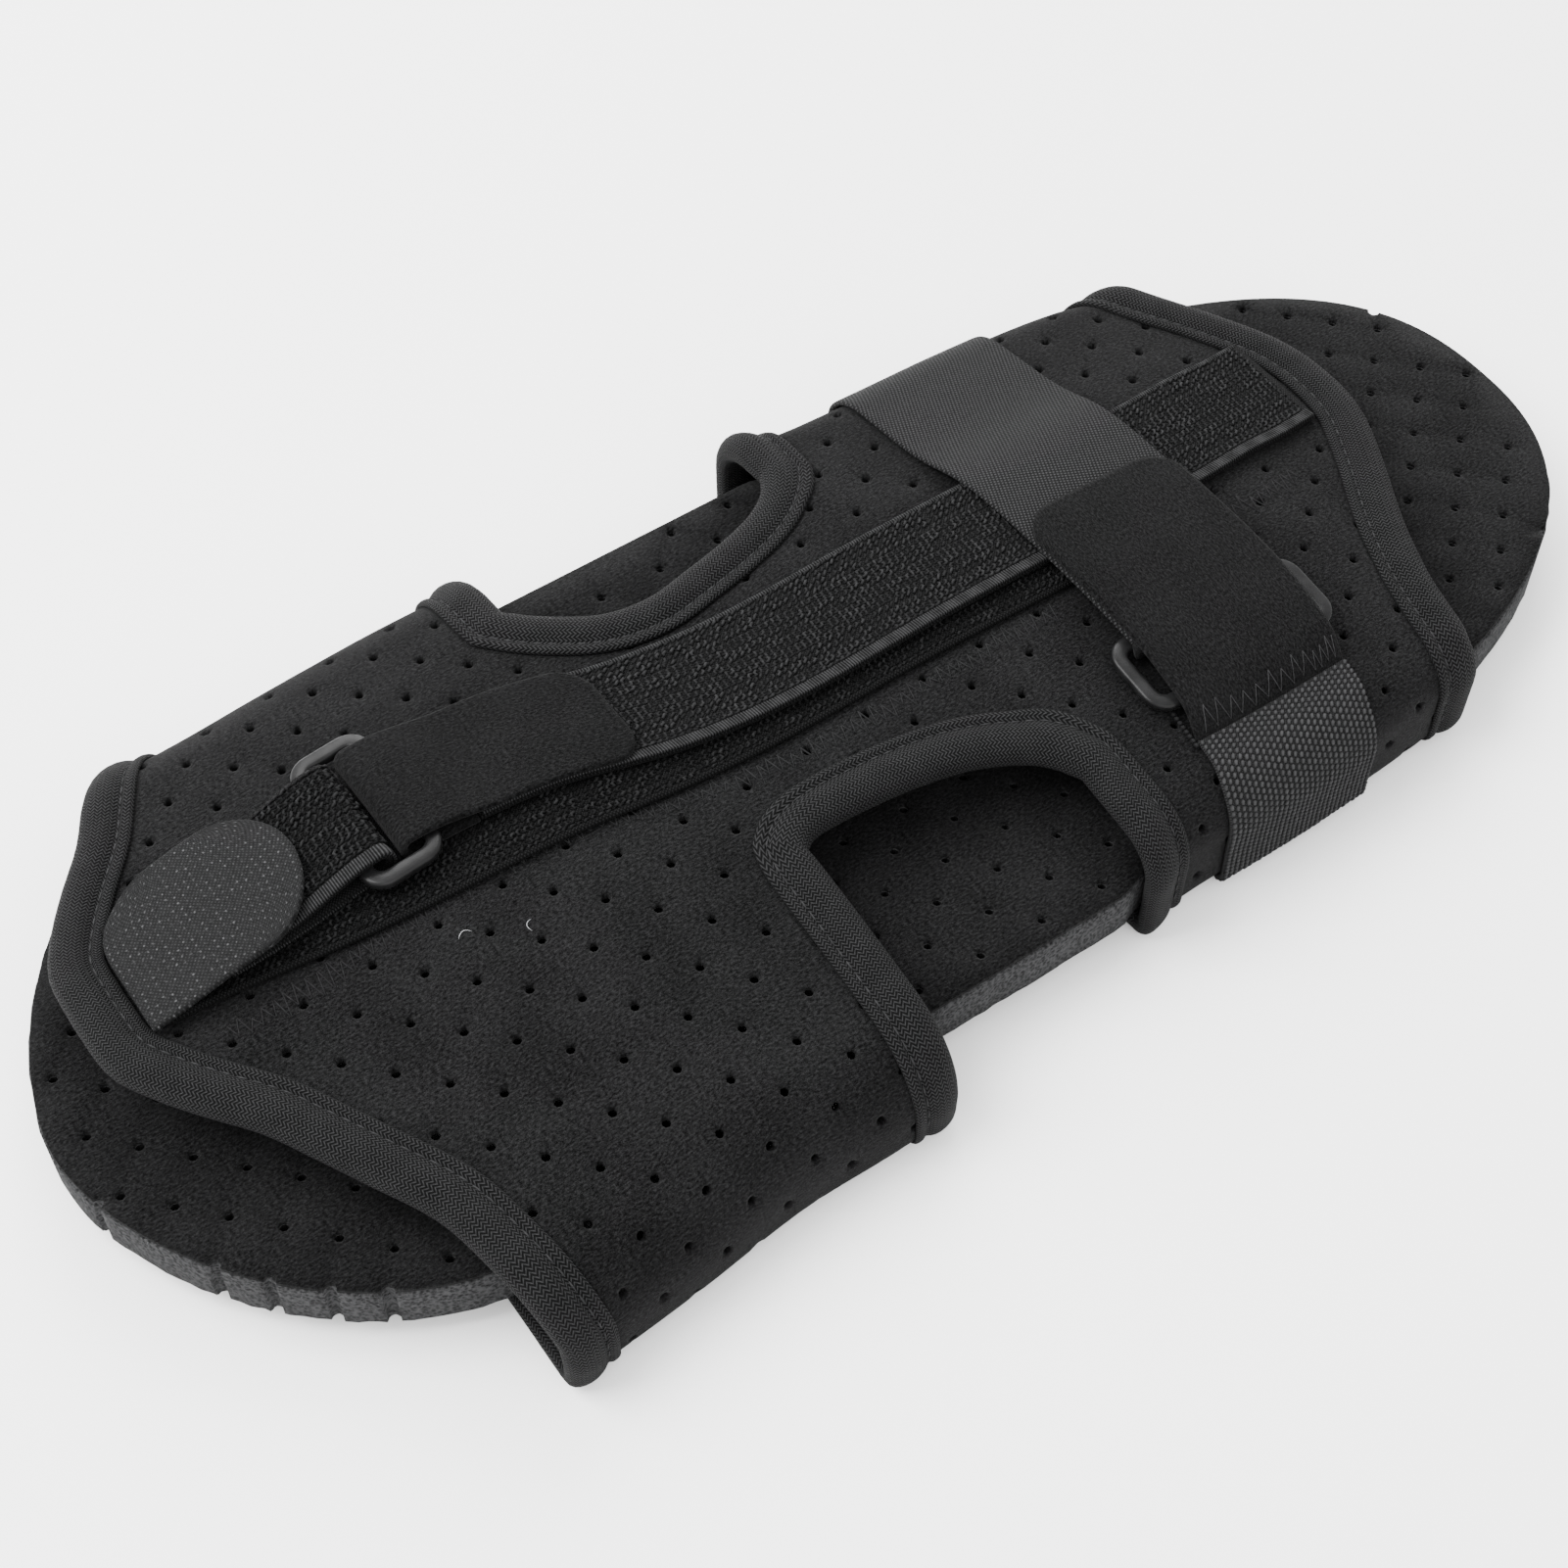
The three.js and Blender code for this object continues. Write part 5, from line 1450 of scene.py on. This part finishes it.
def join_stitches(tab):
    """Thin thread in tall zigzags over the seam between velvet and webbing, denser at the right."""
    shape = Shape()
    seeded = random.Random(21)
    level = WIDE_TAB_THICKNESS / 2 + THREAD_RADIUS
    side = SEAM_START - WIDE_STRAP_WIDTH / 2
    before = (SEAM_FOOT, side)
    for k in range(SEAM_MOST):
        dense = side > DENSE_SHARE * WIDE_STRAP_WIDTH
        side += seeded.uniform(*(DENSE_STEP if dense else LOOSE_STEP))
        if side > WIDE_STRAP_WIDTH / 2 - SEAM_END:
            break
        high = seeded.uniform(*SEAM_TIP) if k % 2 == 0 else SEAM_FOOT + seeded.uniform(-0.2, 0.5)
        line = np.linspace((*before, level), (high, side, level), 3)
        tube(shape, line, THREAD_RADIUS, 5, tab.at, taper=False)
        before = (high, side)
    return shape


# Loose details on the wrap

EMBROIDERY_DROP = 22.0
EMBROIDERY_REACH = 2.0
EMBROIDERY_STEP = 1.15
EMBROIDERY_RUNS = ((-134.0, 44.0), (88.0, 108.0))
EMBROIDERY_WAVER = 1.1
EMBROIDERY_SLIP = 0.3
SEWING_RADIUS = 0.15
SEWING_LEVEL = 0.05
LINT_COUNT = 22
LINT_RADIUS = 0.055
LINT_ROOM = 12
LINT_X = (-110, 100)
LINT_ACROSS = (-68, 55)
LINT_BEND = 1.6
LINT_SIZE = (0.7, 1.9)
# Between these places along the board the openings leave only the spine, which has this width
OPENINGS_X = (-40, 36)
SPINE_ACROSS = (-12, 30)


def make_embroidery():
    """A row of zigzag sewing along the wrap, below the long strap."""
    shape = Shape()
    seeded = random.Random(17)
    for low, high in EMBROIDERY_RUNS:
        before = None
        for k, x in enumerate(np.arange(low, high, EMBROIDERY_STEP)):
            across = float(strap_line(x)) - EMBROIDERY_DROP + (-1) ** k * EMBROIDERY_REACH
            across += seeded.uniform(-EMBROIDERY_WAVER, EMBROIDERY_WAVER)
            if before is not None:
                line = np.linspace((*before, SEWING_LEVEL), (x, across, SEWING_LEVEL), 3)
                tube(shape, line, SEWING_RADIUS, 5, on_cloth, taper=False)
            before = (x + seeded.uniform(-EMBROIDERY_SLIP, EMBROIDERY_SLIP), across)
    dress(shape.make("wrap_embroidery"), SEWING, "flock")


def make_lint():
    """A few pale fibres caught on the cloth."""
    shape = Shape()
    seeded = random.Random(43)
    for _ in range(LINT_COUNT):
        x, across = seeded.uniform(*LINT_X), seeded.uniform(*LINT_ACROSS)
        on_spine = SPINE_ACROSS[0] <= across <= SPINE_ACROSS[1]
        over_opening = OPENINGS_X[0] < x < OPENINGS_X[1] and not on_spine
        on_long_strap = abs(across - strap_line(x)) < STRAP_WIDTH / 2 + LINT_ROOM
        on_wide_strap = abs(x - WIDE_STRAP_X) < WIDE_STRAP_WIDTH / 2 + LINT_ROOM
        if over_opening or on_long_strap or on_wide_strap:
            continue
        turn = seeded.uniform(0, 6.28)
        bend = seeded.uniform(-LINT_BEND, LINT_BEND)
        size = seeded.uniform(*LINT_SIZE)
        t = np.linspace(-1, 1, 6)
        line = np.stack([
            x + size * t * math.cos(turn) - bend * t * t * math.sin(turn),
            across + size * t * math.sin(turn) + bend * t * t * math.cos(turn),
            0.12 + 0.25 * (1 - t * t),
        ], 1)
        tube(shape, line, LINT_RADIUS, 4, on_cloth)
    dress(shape.make("lint"), LINT, "flock")


# Rings

RING_STEPS = 16
RING_SIDES = 20


def make_ring(name, node, x, across, length, width, level):
    radius = RING_CORNER
    corners = [(1, 1), (-1, 1), (-1, -1), (1, -1)]
    path = []
    for k, (sx, sy) in enumerate(corners):
        centre = np.array([sx * (length / 2 - radius), sy * (width / 2 - radius)])
        for i in range(RING_STEPS + 1):
            path.append((centre, math.pi / 2 * (k + i / RING_STEPS)))
    turn = np.arange(RING_SIDES) * 2 * math.pi / RING_SIDES
    inward = 0.5 - 0.5 * np.sign(np.cos(turn)) * np.abs(np.cos(turn)) ** 0.5
    up = 0.5 + 0.5 * np.sign(np.sin(turn)) * np.abs(np.sin(turn)) ** 0.6
    rows = []
    for centre, angle in path:
        out = radius - inward * RING_BAR
        px = x + centre[0] + out * math.cos(angle)
        pa = across + centre[1] + out * math.sin(angle)
        rows.append(on_cloth(px, pa, level + up * RING_THICKNESS))
    shape = Shape()
    points = np.array(rows)
    shape.grid(points, points[..., :2], close_u=True, close_v=True)
    dress(shape.make(name), PLASTIC, "ring_plastic", node)


def make_rings():
    make_ring("small_ring_moulded", "small_ring", SMALL_RING_X, float(strap_line(SMALL_RING_X)),
              SMALL_RING_LENGTH, SMALL_RING_WIDTH, SMALL_RING_LEVEL)
    foot = zone_of(MIDDLE, LARGE_RING_ACROSS - LARGE_RING_WIDTH / 2)
    x = WIDE_STRAP_X + WIDE_STRAP_WIDTH * float(sample(WIDE_STRAP_LINE, "zone", "shift", foot))
    make_ring("large_ring_moulded", "large_ring", x, LARGE_RING_ACROSS,
              LARGE_RING_LENGTH, LARGE_RING_WIDTH, LARGE_RING_LEVEL)


# Stage, lights and camera

CAMERA_AZIMUTH = -34.54
CAMERA_ELEVATION = 53.81
CAMERA_DISTANCE = 542.8
CAMERA_TARGET = (-12.87, 1.35, 4.8)
CAMERA_LENS = 62.97
FLOOR_HALF = 4.0
FLOOR_WHITE = 0.97
SKY_STRENGTH = 2.3
# Name, azimuth and elevation in degrees, distance and width in metres, power in watts
LAMPS = (
    ("key", -125, 52, 1.3, 0.9, 42),
    ("back", 150, 38, 1.5, 1.0, 30),
    ("fill", -10, 40, 1.6, 1.2, 12),
)


def make_stage():
    """Floor, even sky light and three lamps."""
    mesh = bpy.data.meshes.new("floor")
    corners = [(x * FLOOR_HALF, y * FLOOR_HALF, 0) for x, y in ((-1, -1), (1, -1), (1, 1), (-1, 1))]
    mesh.from_pydata(corners, [], [(0, 1, 2, 3)])
    floor = bpy.data.objects.new("floor", mesh)
    bpy.context.scene.collection.objects.link(floor)
    g = Graph("floor", 0.9, specular=0.1)
    g.shader.inputs["Base Color"].default_value = (FLOOR_WHITE, FLOOR_WHITE, FLOOR_WHITE, 1)
    mesh.materials.append(g.material)

    world_light = bpy.data.worlds.new("studio")
    world_light.use_nodes = True
    background = world_light.node_tree.nodes["Background"]
    background.inputs[0].default_value = (1, 1, 1, 1)
    background.inputs[1].default_value = SKY_STRENGTH
    bpy.context.scene.world = world_light

    target = Vector(world([CAMERA_TARGET])[0])
    for name, azimuth, elevation, distance, extent, power in LAMPS:
        light = bpy.data.lights.new(name, "AREA")
        light.energy = power
        light.size = extent
        lamp = bpy.data.objects.new(name, light)
        lamp.location = target + direction(azimuth, elevation) * distance
        lamp.rotation_euler = (-direction(azimuth, elevation)).to_track_quat("-Z", "Y").to_euler()
        bpy.context.scene.collection.objects.link(lamp)


def direction(azimuth, elevation):
    """Unit vector from the object towards a viewer or a lamp."""
    a, e = math.radians(azimuth), math.radians(elevation)
    return Vector((math.sin(a) * math.cos(e), -math.cos(a) * math.cos(e), math.sin(e)))


def make_camera():
    data = bpy.data.cameras.new("camera")
    data.lens = CAMERA_LENS
    data.sensor_width = 36
    camera = bpy.data.objects.new("camera", data)
    back = direction(CAMERA_AZIMUTH, CAMERA_ELEVATION)
    camera.location = Vector(world([CAMERA_TARGET])[0]) + back * (CAMERA_DISTANCE * MM)
    camera.rotation_euler = (-back).to_track_quat("-Z", "Y").to_euler()
    bpy.context.scene.collection.objects.link(camera)
    bpy.context.scene.camera = camera


make_camera()
make_stage()
make_pad()
make_wrap()
make_bindings()
make_base_strip()
make_long_strap()
make_long_tab()
make_holder()
make_patch()
make_wide_strap()
make_webbing(make_wide_tab())
make_rings()
make_embroidery()
make_lint()
